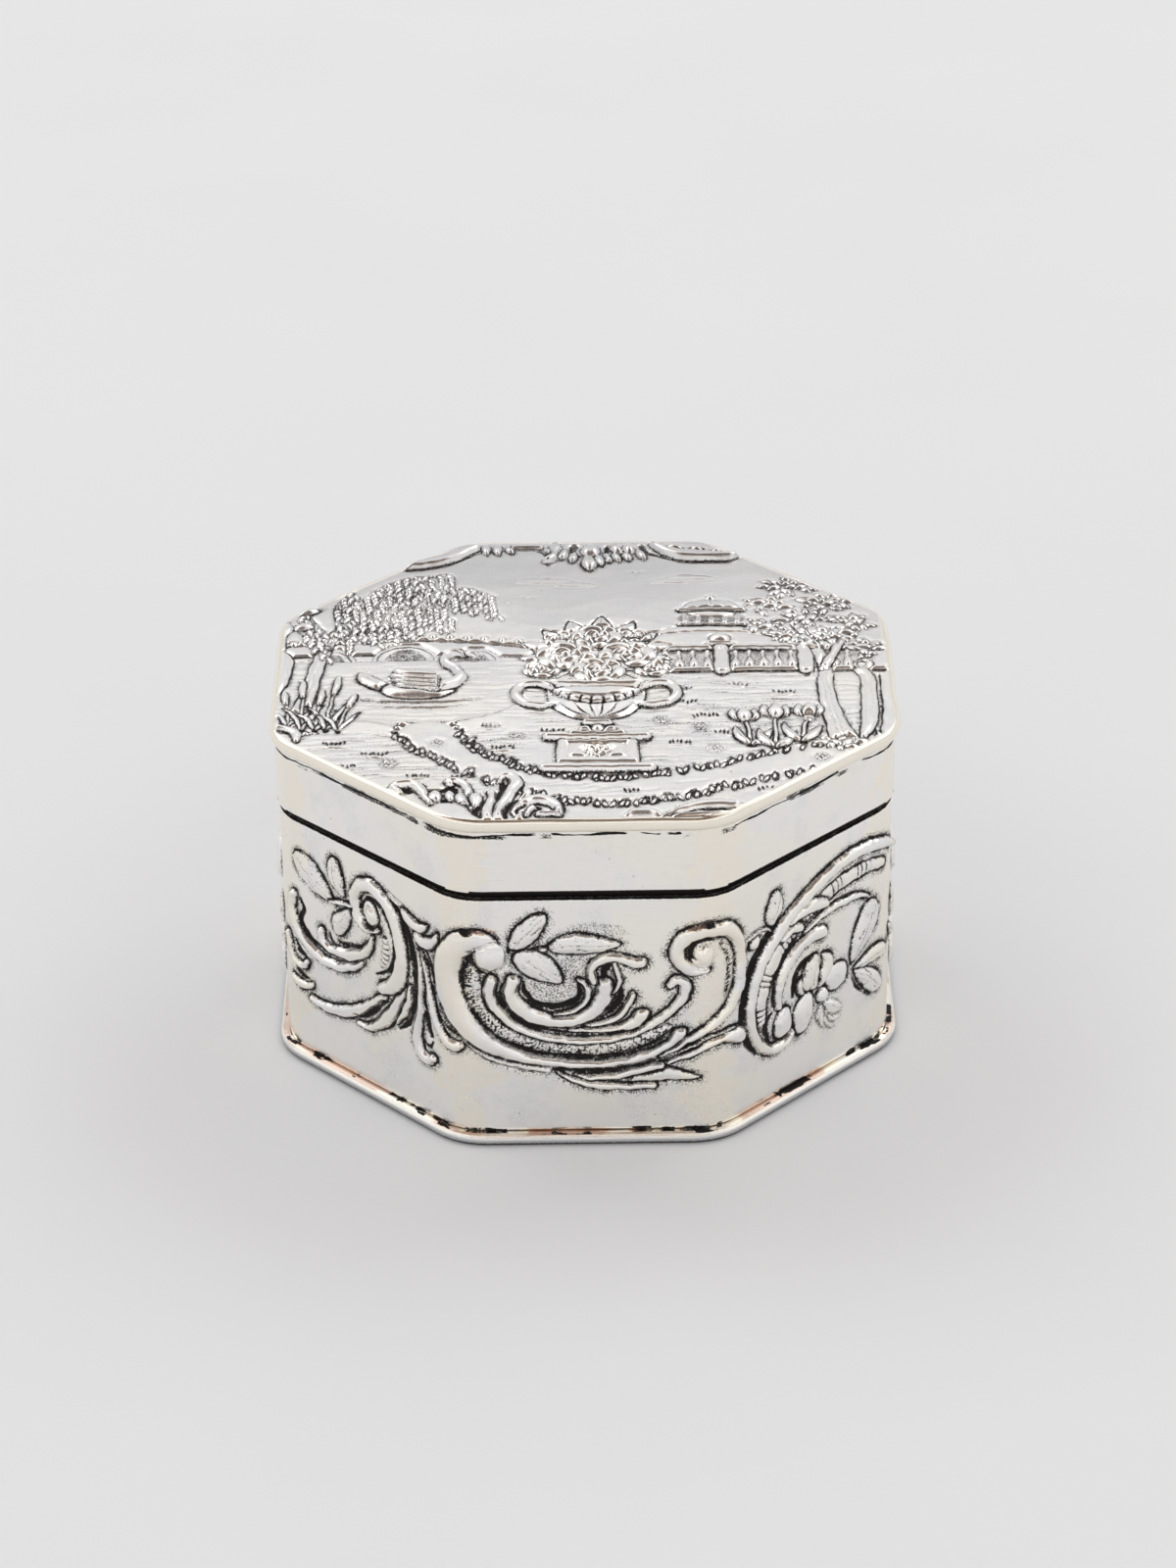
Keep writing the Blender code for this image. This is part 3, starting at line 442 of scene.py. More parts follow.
def left_scrolls(r):
    """The chamfer left of a main face: volute, feathers with drop ends, leaves and shell panel."""
    # shell panel and its rim
    band(r, [(-28.4, 5.3, .3), (-26.4, 5.3, .42), (-24.4, 5.85, .5), (-22.4, 6.9, .5), (-20.7, 8.3, .42),
        (-19.2, 9.7, .3)], .36)
    band(r, [(-22.6, 5.65, .2), (-21.2, 5.75, .35), (-19.8, 6.75, .5), (-18.5, 8.2, .6), (-17.4, 9.9, .6),
        (-16.9, 11.6, .4)], .38)
    sink(r, [(-23, 6.1, .08), (-21.6, 6.7, .25), (-20.4, 7.8, .3), (-19.3, 9.2, .2)], .16)
    # right flank in shade
    sink(r, [(-18.4, 19.9, .12), (-17.1, 18.5, .35), (-16.2, 17.2, .4), (-15.75, 15.5, .38),
        (-15.5, 13.5, .36), (-15.5, 11.5, .3), (-15.8, 9.8, .25), (-16.6, 8.2, .25), (-17.6, 7.2, .12)], .18)
    band(r, [(-16, 12.2, .12), (-16.2, 10.6, .3), (-16.9, 9.1, .3), (-17.7, 7.8, .12)], .3)
    # volute and its arm
    band(r, [(-19.7, 15.9, .3), (-21, 15.65, .42), (-22.05, 16.5, .5), (-22.35, 17.9, .55), (-21.8, 19.2, .6),
        (-20.5, 19.9, .62), (-19.2, 19.5, .6), (-18.15, 18.6, .6), (-17.4, 17.2, .6), (-17, 15.5, .62),
        (-16.95, 13.8, .72), (-17.4, 12.2, .78), (-18.3, 11, .65), (-19.3, 10.5, .5)], .52, dome=.85)
    sink(r, [(-21.2, 16.4, .1), (-21.55, 17.4, .14), (-21, 18.4, .18), (-20, 18.5, .2), (-19, 17.8, .28),
        (-18.3, 16.8, .32), (-17.95, 15.3, .28), (-18, 13.7, .26), (-18.7, 12.3, .24), (-20.2, 11.4, .12)],
        .16)
    band(r, [(-19, 15.4, .3), (-18.9, 14, .42), (-19.3, 12.8, .35)], .1, ribs=(.5, .08, 0), line=.5,
        groove=.05)
    bead(r, -20.5, 17.1, .85, 1.15, .46, turn=.2)
    sink(r, [(-20.9, 16.3, .06), (-21, 17.1, .07), (-20.6, 17.75, .08), (-20.1, 17.5, .06)], .3, dark=.5)
    # feathers
    band(r, [(-15.4, 17.3, .08), (-14.75, 15.4, .16), (-14.6, 13.2, .22), (-14.75, 10.9, .28), (-15.1, 9, .4),
        (-15.3, 7.4, .5), (-14.9, 6.2, .5), (-14.1, 5.85, .5), (-13.4, 6.3, .35)], .42)
    sink(r, [(-14.6, 7.6, .1), (-14.3, 7.2, .16), (-13.8, 7.2, .2), (-13.5, 7.8, .14)], .1)
    sink(r, [(-14.35, 13, .08), (-14.35, 11.2, .22), (-14.05, 9.4, .3), (-13.7, 8.3, .25)], .18)
    band(r, [(-15.2, 17.4, .08), (-14.2, 15.5, .16), (-13.75, 13.4, .2), (-13.3, 11.4, .28),
        (-12.7, 9.8, .38), (-11.9, 8.85, .5), (-11, 8.55, .45), (-10.3, 8.75, .3)], .4)
    band(r, [(-14.9, 17.3, .06), (-13.8, 15.6, .14), (-13.2, 13.8, .16), (-12.6, 12.2, .22),
        (-11.8, 10.9, .4), (-11, 10.2, .42), (-10.4, 9.9, .25)], .36)
    sink(r, [(-12.5, 10.9, .12), (-12, 10.2, .16), (-11.3, 9.75, .14), (-10.4, 9.6, .12), (-9.95, 9.2, .08)],
        .14)
    sink(r, [(-14.1, 16.2, .06), (-13.2, 14.4, .2), (-12.7, 12.9, .28), (-11.7, 11.7, .2), (-10.5, 10.8, .1)],
        .16)
    # leaf pair toward the corner
    band(r, [(-18.4, 20, .05), (-17.2, 19.5, .1), (-16.2, 19, .12)], .2, line=.5)
    leaf(r, [(-16.7, 19.2), (-15.6, 18.5), (-14.6, 18.4), (-13.7, 18.9)], .55, .4)
    leaf(r, [(-15.2, 17.6), (-14.2, 17.1), (-13.2, 17.6), (-12.5, 18.7)], .6, .4)
    # leaves at the upper left
    leaf(r, [(-29.4, 18.8), (-27.9, 18), (-26.4, 17), (-25, 16.3)], 1.25, .42, vein=.04, blunt=.65)
    leaf(r, [(-24.7, 20.4), (-24.75, 19.3), (-24.3, 18.2), (-23.7, 17.3)], .85, .42, vein=.05, blunt=.65)
    leaf(r, [(-24.6, 13.7), (-24.3, 14.6), (-23.7, 15.5), (-23.1, 16.3)], .85, .42, vein=.05, blunt=.6)
    band(r, [(-22.7, 16.9, .14), (-24, 16.6, .16), (-25.4, 16.2, .12)], .34)
    # crescents
    band(r, [(-20.4, 14.9, .15), (-20.8, 13.8, .35), (-21.8, 12.7, .55), (-23.2, 11.95, .58),
        (-24.6, 11.6, .45), (-25.8, 11.5, .36), (-26.6, 12, .34), (-26.65, 12.85, .3)], .42)
    sink(r, [(-21.2, 14.2, .06), (-22.2, 13.2, .2), (-23.4, 12.75, .28), (-24.8, 12.6, .12)], .15)
    sink(r, [(-25.9, 12.95, .12), (-25.6, 12.3, .22), (-25.1, 11.95, .12)], .15)
    band(r, [(-21.6, 11.9, .1), (-23, 10.9, .4), (-24.6, 10.15, .45), (-26.4, 9.95, .45), (-28.2, 10.5, .5),
        (-29.6, 11.7, .52), (-30.4, 13.2, .5), (-30.3, 14.6, .4), (-29.9, 15.1, .25)], .42)
    sink(r, [(-29.3, 14.7, .2), (-29, 13.8, .25), (-29.4, 12.6, .32), (-28.6, 11.5, .32), (-27.2, 11, .2),
        (-25.6, 10.8, .14), (-24.1, 10.75, .05)], .16)
    # curls at the lower left
    band(r, [(-31.4, 10.6, .3), (-30.9, 9.1, .34), (-30.1, 8.3, .32), (-29.2, 8.2, .3), (-28.7, 8.8, .25)],
        .36)
    sink(r, [(-30.3, 10.2, .25), (-29.7, 9.4, .3), (-29, 9.2, .2)], .15)
    sink(r, [(-30.5, 7.6, .2), (-29.7, 7.2, .3), (-28.7, 7.1, .15)], .15)
    band(r, [(-30.8, 6.6, .3), (-29.9, 6.2, .4), (-28.9, 6.3, .35), (-28.2, 6.7, .2)], .3)


def right_scrolls(r):
    """The chamfer right of a main face: ribbed arc, lobes, buds, berries, petals and leaves."""
    # ribbed channel inside the great arc
    band(r, [(15.9, 8, .45), (15.75, 10, .62), (16.3, 12, .72), (17.5, 13.8, .75), (19.2, 15.2, .66),
        (21.5, 16.3, .62), (24, 17.2, .66), (26.5, 17.6, .66), (29, 17.5, .6), (30.8, 17, .4)], .16,
        ribs=(.52, .16, 3.4), dome=.3)
    # great arc
    sink(r, [(18, 17.8, .1), (16.5, 16.6, .35), (15.3, 15.3, .55), (14.2, 13.6, .5), (13.5, 11.6, .36),
        (13.35, 9.4, .34), (13.9, 7.3, .28), (15.2, 5.5, .16)], .18)
    band(r, [(19.4, 5.7, .3), (18.4, 5.05, .45), (16.9, 5.2, .52), (15.4, 6.4, .52), (14.5, 8.2, .5),
        (14.25, 10.2, .5), (14.55, 12.2, .52), (15.4, 14, .58), (16.8, 15.6, .64), (18.6, 16.95, .68),
        (20.8, 18.1, .64), (23.2, 19.05, .62), (25.8, 19.65, .6), (28.4, 19.6, .55), (30.6, 19.1, .5),
        (32.4, 18.2, .35)], .52, dome=.85)
    # lobes over the channel
    band(r, [(18, 15.3, .2), (19.2, 15.75, .45), (20.3, 15.5, .42)], .4)
    band(r, [(18.9, 16.5, .2), (20.4, 16.8, .5), (22, 16.85, .6), (23.3, 16.4, .5)], .42)
    # inner arc with its lobe
    band(r, [(20.8, 14.7, .1), (22.6, 15.3, .25), (25, 15.6, .3), (27.2, 15.4, .28), (28.9, 14.6, .15)], .3)
    band(r, [(17.8, 8.9, .25), (17.7, 10.4, .34), (18.3, 12, .46), (19.7, 13.3, .56), (21.6, 13.9, .62),
        (23.1, 13.75, .62)], .42)
    sink(r, [(17.25, 9.2, .1), (17.1, 10.6, .14), (17.6, 12.3, .26), (18.8, 13.7, .3), (20.2, 14.6, .12)],
        .15)
    # tulip bud
    sink(r, [(19.7, 9, .2), (19.85, 10.4, .34), (20.6, 11.5, .36), (21.9, 11.95, .14)], .17)
    leaf(r, [(22.3, 8.7), (23.5, 9.6), (23.9, 10.7), (23.3, 11.6)], .7, .45)
    leaf(r, [(21.9, 8.6), (20.9, 9.1), (20.5, 9.9), (20.9, 10.5)], .55, .42)
    leaf(r, [(22, 8.7), (21.7, 9.9), (21.9, 11), (22.4, 11.9)], 1, .52, vein=.05)
    # berries
    sink(r, [(17.2, 8.6, .14), (16.5, 8, .34), (16.3, 7.1, .34), (16.9, 6.1, .2)], .17)
    bead(r, 18.4, 7.1, 1.05, 1.4, .58, turn=-.15)
    bead(r, 21, 6.8, 1.15, 1.85, .58, turn=-.2, crease=.10)
    # flower
    bead(r, 25.1, 8.6, 1.35, 1.25, .4, turn=-.6)
    fan = [(-.9, 1.7), (-.45, 2.5), (.05, 2.9), (.5, 2.6), (.95, 1.9)]
    for turn_share, reach in fan:
        x1 = 23.6 + reach * (.35 + .75 * turn_share)
        y1 = 6.5 - reach * (1 - .25 * abs(turn_share))
        leaf(r, [(23.6, 6.6), ((23.6 + x1) / 2, (6.6 + y1) / 2), (x1, y1)], .62, .36, vein=.04, blunt=1.3,
            line=.6)
    bead(r, 23.3, 7.6, .68, .7, .5)
    # leaves at the right
    leaf(r, [(29.3, 13.6), (28.9, 12.3), (27.9, 10.6), (27, 8.9)], 1.3, .45, vein=.08, blunt=.65)
    leaf(r, [(31.6, 8.3), (30.3, 8.6), (28.8, 8.4), (27.3, 8.2)], .75, .36, vein=.04, blunt=.65)
    leaf(r, [(30.6, 5), (29.8, 5.9), (28.6, 7), (27.4, 7.9)], .95, .4, vein=.08, blunt=.65)
    sink(r, [(27.2, 7.3, .1), (27.7, 6.4, .16), (28.4, 5.5, .12), (29.6, 4.5, .08)], .12)
    # leaf and bud at the upper left
    leaf(r, [(16.5, 17.2), (16.9, 18.3), (17.2, 19.3), (17.3, 20.2)], .9, .42, vein=.04, blunt=1)
    band(r, [(16.5, 16.9, .08), (15.6, 17.3, .12), (14.5, 17.2, .12), (13.6, 17, .06)], .22, line=.7)
    bead(r, 14.7, 16.45, .62, .45, .36, turn=.4)


def side_scrolls(r):
    """A side face: a palmette between two C-scrolls."""
    for side in (-1, 1):
        band(r, [(side * x, y, w) for x, y, w in ((5.2, 14.2, .3), (6.2, 14.6, .45), (6.9, 15.6, .5),
            (6.5, 16.8, .52), (5.4, 17.4, .55), (4.1, 17, .6), (3.3, 15.7, .6), (3.2, 14, .6),
            (3.8, 12.2, .62), (5, 10.6, .62), (6.4, 9.2, .55), (7.2, 7.7, .5), (6.9, 6.2, .48),
            (5.7, 5.5, .45), (4.7, 6, .4), (4.6, 6.9, .3))], .5, dome=.85)
        bead(r, side * 5.3, 15.6, .75, .75, .45)
        band(r, [(side * x, y, w) for x, y, w in ((1, 4.9, .1), (2.4, 5.2, .3), (3.6, 6.4, .35), (4.2, 8, .3),
            (4, 9.6, .12))], .36)
        leaf(r, [(side * 6.6, 10.4), (side * 7.8, 11.6), (side * 8.4, 13), (side * 8.3, 14.4)], .8, .4,
            vein=.08)
        leaf(r, [(side * 7.2, 9.6), (side * 8.6, 9.9), (side * 9.6, 10.8)], .6, .36, vein=.08)
    for place in (-3, 3, -2, 2, -1, 1, 0):
        lean = place / 3
        length = 7.2 - 2.4 * abs(lean)
        tip_x = 2.6 * lean * (1 + .25 * abs(lean))
        leaf(r, [(.25 * lean, 7.4), (tip_x * .55, 7.4 + length * .55), (tip_x, 7.4 + length)], .55,
            .4 + .05 * (1 - abs(lean)), blunt=1.5)
    bead(r, 0, 7.2, 1, .8, .5)
    leaf(r, [(0, 6.6), (0, 5.4), (0, 4.3)], .6, .36, vein=.08)


def shelf(relief, ridge, rise, line=0.35, reach=6.0):
    """Raises what lies below a ridge of (x, y) pairs; it slopes back to the ground over its reach."""
    path = smooth_path([(x, y, 0.1) for x, y in ridge])
    top = np.interp(relief.x, path[:, 0], path[:, 1], left=-99, right=-99)
    edge = top[None, :] - relief.y[:, None]
    step = 1 / (1 + np.exp(-np.clip(edge / 0.09, -30, 30)))
    relief.height += rise * step * np.exp(-np.maximum(edge, 0) / reach)
    trace = line * np.exp(-((edge + 0.08) / 0.10) ** 2)
    relief.dark[:] = np.maximum(relief.dark, trace)


def streaks(relief, area, count, length, seed, dark=0.4, depth=0.04, thick=0.07):
    """Fine level lines strewn over an area of (low x, high x, low y, high y, lean)."""
    source = np.random.RandomState(seed)
    low_x, high_x, low_y, high_y, lean = area
    for _ in range(count):
        x = source.uniform(low_x, high_x)
        y = source.uniform(low_y, high_y)
        half = 0.5 * length * source.uniform(0.5, 1.3)
        sway = source.uniform(-0.12, 0.12)
        shade = dark * source.uniform(0.4, 1.2)
        rise = lean * half
        sink(relief, [(x - half, y - rise, 0.03), (x, y + sway, thick), (x + half, y + rise, 0.03)], depth,
             min(shade, 0.95))


def slab(relief, low, high, height):
    """A raised rectangle from its low corner to its high one, with a short slope at its sides."""
    part, x, y = relief.window(low, high, 0.6)
    out_x = np.maximum(low[0] - x, x - high[0])
    out_y = np.maximum(low[1] - y, y - high[1])
    edge = np.where(np.minimum(out_x, out_y) > 0, np.hypot(out_x, out_y), np.maximum(out_x, out_y))
    rise = np.clip(-edge / 0.25, 0, 1)
    press(relief, part, edge, height * rise * (2 - rise), np.zeros(x.shape), line=0.9)


def clear(relief, low, high):
    """Brings a rectangle back to the bare ground."""
    part, x, y = relief.window(low, high, 0.0)
    relief.height[part] = 0
    relief.dark[part] = 0


def tuft(relief, x, y, blades, seed, size=0.9, spacing=0.32):
    """A row of short dark blades of grass, with a bright lip above them."""
    source = np.random.RandomState(seed)
    run = blades * spacing
    band(relief, [(x - run / 2, y - size, .08), (x, y - size - 0.1, .2), (x + run / 2, y - size, .08)],
         0.10, line=0.2, groove=0.02)
    for place in range(blades):
        foot_x = x + spacing * (place - (blades - 1) / 2)
        foot_y = y + source.uniform(-0.12, 0.12)
        tall = size * source.uniform(0.6, 1.1)
        lean = 0.25 * (place - (blades - 1) / 2) / blades + source.uniform(-0.12, 0.12)
        sink(relief, [(foot_x, foot_y - tall, .05), (foot_x + lean * 0.4, foot_y - tall / 2, .13),
                      (foot_x + lean, foot_y, .03)], 0.10)


def rosette(relief, x, y, radius, petals, height, base=0.0, turn=0.0):
    """A flower seen from the front: a ring of petals round a domed eye."""
    for place in range(petals):
        angle = turn + 2 * math.pi * place / petals
        cx = x + 0.58 * radius * math.cos(angle)
        cy = y + 0.58 * radius * math.sin(angle)
        bead(relief, cx, cy, 0.46 * radius, 0.34 * radius, height, turn=angle, base=base, groove=0.08,
             line=0.75, line_width=0.09)
    bead(relief, x, y, 0.27 * radius, 0.27 * radius, height * 0.9, base=base, groove=0.05, line=0.9,
         line_width=0.08)


def blossom(relief, x, y, radius, petals, height, turn=0.0):
    """An open rose: a ring of broad petals, a smaller ring on it and a bud."""
    for count, share, size, lift in ((petals, 0.62, 0.50, 0.7), (petals - 2, 0.28, 0.34, 0.9)):
        for place in range(count):
            angle = turn + 2 * math.pi * (place + share) / count
            bead(relief, x + share * radius * math.cos(angle), y + share * radius * math.sin(angle),
                 size * radius * 0.8, size * radius, height * lift, turn=angle, base=0.12, groove=0.10,
                 line=0.85, line_width=0.17)
    bead(relief, x, y, 0.2 * radius, 0.2 * radius, height, base=0.12, groove=0.06, line=0.9, line_width=0.12)


def foliage(relief, x, y, spread_x, spread_y, count, seed, size=1.2, droop=0.3, height=0.22):
    """A clump of small leaves that lean outward and a little down from the clump's middle."""
    source = np.random.RandomState(seed)
    for place in range(count):
        angle = 2.4 * place + source.uniform(-0.5, 0.5)
        share = math.sqrt(1 - (place + 0.5) / count)
        cx = x + spread_x * share * math.cos(angle)
        cy = y + spread_y * share * math.sin(angle)
        aim = math.atan2(math.sin(angle) - droop, math.cos(angle)) + source.uniform(-0.45, 0.45)
        long = size * source.uniform(0.75, 1.25)
        dx = long * math.cos(aim)
        dy = long * math.sin(aim)
        leaf(relief, [(cx - dx / 2, cy - dy / 2), (cx + 0.1 * dy, cy - 0.1 * dx), (cx + dx / 2, cy + dy / 2)],
             0.27 * long, height * source.uniform(0.7, 1.15), line=0.75, groove=0.10)


def lid_distance(r):
    """Sky, hills and clouds, a round temple, a stone bridge and the garden's balustrade."""
    shelf(r, [(-26, 9.2), (-20, 12.4), (-14, 11.2), (-8, 13.6), (-2, 12.2), (4, 14.6), (11, 12.6), (18, 14.8),
        (26, 13)], .07, line=.12)
    shelf(r, [(-26, 7.8), (-18, 8.6), (-10, 10.8), (-3, 9), (3, 10.4), (9, 8.1), (15, 9.2), (26, 8)], .09,
        line=.25)
    for x, y, long, thick in ((-3.2, 17.2, 5, .55), (-.6, 16.4, 3.4, .45), (9.2, 17.6, 4.2, .5),
            (7.4, 16.9, 3, .4), (-9.4, 14.9, 2.4, .35)):
        band(r, [(x - long / 2, y, .15), (x - long / 5, y + .25, thick), (x + long / 4, y + .1, thick * .8),
            (x + long / 2, y - .05, .12)], .09, line=.12, groove=.03)
    for x, y, wing in ((-6.4, 12.9, .9), (-4.7, 14, .7), (4.6, 18.6, .8)):
        sink(r, [(x - wing, y + .3, .04), (x - wing / 2, y + .42, .08), (x, y, .06)], .05, dark=.7)
        sink(r, [(x, y, .06), (x + wing / 2, y + .42, .08), (x + wing, y + .3, .04)], .05, dark=.7)
    # temple on its knoll
    x = 10.8
    band(r, [(x - 4.4, 7, .3), (x - 2, 7.8, .6), (x + 2, 7.8, .6), (x + 4.4, 6.9, .3)], .12, line=.3)
    bar(r, x, 8.55, 2.7, .2, .26, flat=.2, dome=.2)
    sink(r, [(x - 2, 9.9, .9), (x + 2, 9.9, .9)], .05, dark=.55)
    for place in range(5):
        column = x - 2.2 + 1.1 * place
        band(r, [(column, 8.95, .22), (column, 10, .19), (column, 11, .2)], .24, line=.6, groove=.05)
    bead(r, x, 11.7, 2.3, 1.75, .30, line=.6)
    bar(r, x, 11.35, 2.7, .26, .28, flat=.2, dome=.3)
    for rib in (-.55, 0, .55):
        sink(r, [(x + 2.2 * rib, 11.8, .04), (x + 1.7 * rib, 12.7, .05), (x + .3 * rib, 13.3, .03)], 0,
            dark=.35)
    bead(r, x, 13.75, .32, .4, .26, line=.5)
    # bridge
    band(r, [(-25, 4.3, .9), (-20, 4.7, 1.1), (-14.5, 4.9, 1.25), (-9, 4.5, 1.1), (-5, 3.7, .8)], .2,
        flat=.12, dome=.1)
    for x, y, wide, tall in ((-20.9, 2.5, 1.5, 1.8), (-14.8, 2.5, 2.3, 2.5), (-8.9, 2.4, 1.5, 1.7)):
        bead(r, x, y, wide + .42, tall + .42, .28, line=.6)
        bead(r, x, y, wide, tall, -.12, line=.8)
        sink(r, [(x, y, wide * .8), (x, y + tall * .35, wide * .62)], .12, dark=.62)
    clear(r, (-26, -2), (-3.6, 2.5))
    sink(r, [(-25, 2.5, .05), (-14, 2.45, .08), (-4, 2.4, .05)], .06, dark=.7)
    band(r, [(-25, 5.6, .3), (-20, 6.1, .32), (-14.5, 6.4, .34), (-9, 5.9, .32), (-4.8, 4.9, .28)], .36)
    for place in range(14):
        x = -24.2 + 1.45 * place
        y = 6.55 - .0125 * (x + 14.5) ** 2
        bead(r, x, y + .32, .3, .42, .34, line=.6, groove=.05)
    # balustrade
    sink(r, [(5.6, 2.4, 1.5), (22.6, 2.2, 1.5)], .05, dark=.45)
    for place in range(16):
        x = 5.6 + 1.16 * place
        if place in (5, 11):
            continue
        band(r, [(x, .55, .2), (x, 1.35, .40), (x, 2.2, .2), (x, 3, .16), (x, 3.8, .26)], .32, line=.8,
            line_width=.1)
    band(r, [(4.6, .25, .34), (14, .2, .34), (25, .15, .34)], .3, flat=.3, dome=.3)
    band(r, [(4.6, 4.25, .42), (14, 4.2, .42), (25, 4.1, .42)], .38, flat=.3, dome=.4)
    for x in (11.4, 18.36):
        band(r, [(x, -.1, .62), (x, 4.5, .62)], .42, flat=.25, dome=.1)
        bar(r, x, 4.85, .9, .3, .45, flat=.4, dome=.3)
        bead(r, x, 6, .85, .85, .46)
        sink(r, [(x, 1, .05), (x, 3.6, .05)], 0, dark=.3)


def lid_lake(r):
    """The water with its ripples, the swan, the bank and the landing steps."""
    streaks(r, (-24, -4.5, -8.2, 2, 0), 120, 3.4, 11, dark=.50, depth=.05)
    streaks(r, (-24, -4.5, -8.2, 2, 0), 30, 2.2, 12, dark=0, depth=-.06, thick=.1)
    band(r, [(-18.2, -4.4, .05), (-15.5, -4.75, .22), (-11.5, -4.75, .22), (-8.6, -4.3, .05)], .12, line=.7)
    band(r, [(-17.4, -5.5, .05), (-14.8, -5.75, .16), (-11.8, -5.7, .16), (-9.8, -5.4, .05)], .09, line=.5)
    # swan
    leaf(r, [(-15.6, -2.6), (-17, -1.9), (-18.1, -.7), (-18.5, .5)], .75, .4, vein=.05)
    bead(r, -13.6, -2.7, 3, 1.65, .62, turn=.06, groove=.14)
    band(r, [(-12.4, -2.6, .75), (-10.9, -1.8, .72), (-10.2, -.5, .52), (-10.6, .8, .44), (-11.4, 1.8, .42),
        (-11.5, 2.9, .42), (-10.8, 3.6, .45), (-10, 3.5, .48)], .6)
    leaf(r, [(-9.9, 3.55), (-9.2, 3.3), (-8.5, 2.8)], .3, .5)
    sink(r, [(-10.2, 3.62, .08), (-10.05, 3.6, .08)], 0, dark=.9)
    for low, reach, width in ((-3.4, 3.4, .5), (-2.7, 4, .55), (-2, 4.2, .6), (-1.2, 3.9, .62)):
        leaf(r, [(-11.9, low + .35), (-13.4, low + .75), (-15, low + 1), (-11.9 - reach, low + 1.7)], width,
            .3, vein=.05, base=.42, line=.75)
    # bank
    shelf(r, [(-26, -7.6), (-22, -8.6), (-18, -8.4), (-14.8, -9.3), (-10.5, -8.6), (-6.4, -6.6), (-4.8, -3.2),
        (-4.4, .4), (-3.4, 3.2)], .16, line=.8, reach=2.2)
    for place in range(3):
        y = -8.9 - .62 * place
        band(r, [(-14.9 - .2 * place, y, .26), (-10.7 + .2 * place, y + .1, .26)], .26, flat=.4, dome=.2)


def lid_lawn(r):
    """Grass in level strokes and tufts, and the smooth path across the front."""
    streaks(r, (-22, -5.5, -18.4, -10.2, .02), 170, 3.4, 21, dark=.72, depth=.05)
    streaks(r, (-3.6, 22, -11.5, -.8, -.01), 300, 3.2, 22, dark=.72, depth=.05)
    streaks(r, (3.5, 16, -19, -11, -.02), 130, 3, 23, dark=.70, depth=.05)
    streaks(r, (-3.6, 22, -11.5, -.8, -.01), 50, 2, 24, dark=0, depth=-.06, thick=.1)
    upper = [(23.5, -11.6), (15, -14.4), (9, -16.9), (4, -18.1), (-1, -18.1), (-5.2, -16.3), (-8.6, -13.3),
        (-10.2, -10.6)]
    lower = [(20.5, -16.8), (13, -19.4), (8, -21.5), (3, -22.6), (-2, -21.9), (-7.4, -18.9), (-12.2, -14.6),
        (-15.2, -10.8)]
    middle = [((ax + bx) / 2, (ay + by) / 2, .5 * math.hypot(ax - bx, ay - by) - .1)
              for (ax, ay), (bx, by) in zip(upper, lower)]
    band(r, middle, .05, flat=.1, dome=0, line=.25, groove=.05)
    streaks(r, (-10, 14, -21.5, -18.9, .12), 40, 2.6, 25, dark=.5, depth=.03)
    source = np.random.RandomState(26)
    for outline, side in ((upper, 1), (lower, -1)):
        path = smooth_path([(x, y, .1) for x, y in outline], 7)
        for x, y, _ in path:
            for _ in range(2):
                px = x + source.uniform(-.35, .35)
                py = y + source.uniform(-.25, .25)
                lean = source.uniform(-.35, .5)
                leaf(r, [(px, py - .45), (px + lean * .5, py), (px + lean, py + .55)], .16, .2)
    for place, (x, y, blades) in enumerate(((-20.2, -11.6, 6), (-16.9, -13.4, 7), (-19, -15.6, 5),
            (-13.2, -17.2, 6), (-7.6, -8.9, 5), (-2.9, -5.6, 5), (-2.6, -9.8, 6), (7.9, -2.6, 6),
            (9.8, -7.4, 7), (7.6, -12, 6), (12.6, -1.9, 5), (16.4, -3.4, 6), (8.4, -4.9, 5), (3.6, -20.2, 4),
            (11.2, -10.4, 5), (14.2, -20, 4), (-6.6, -12.6, 6), (-9.8, -17.4, 5), (16.2, -6.4, 6))):
        tuft(r, x, y, blades, 40 + place)


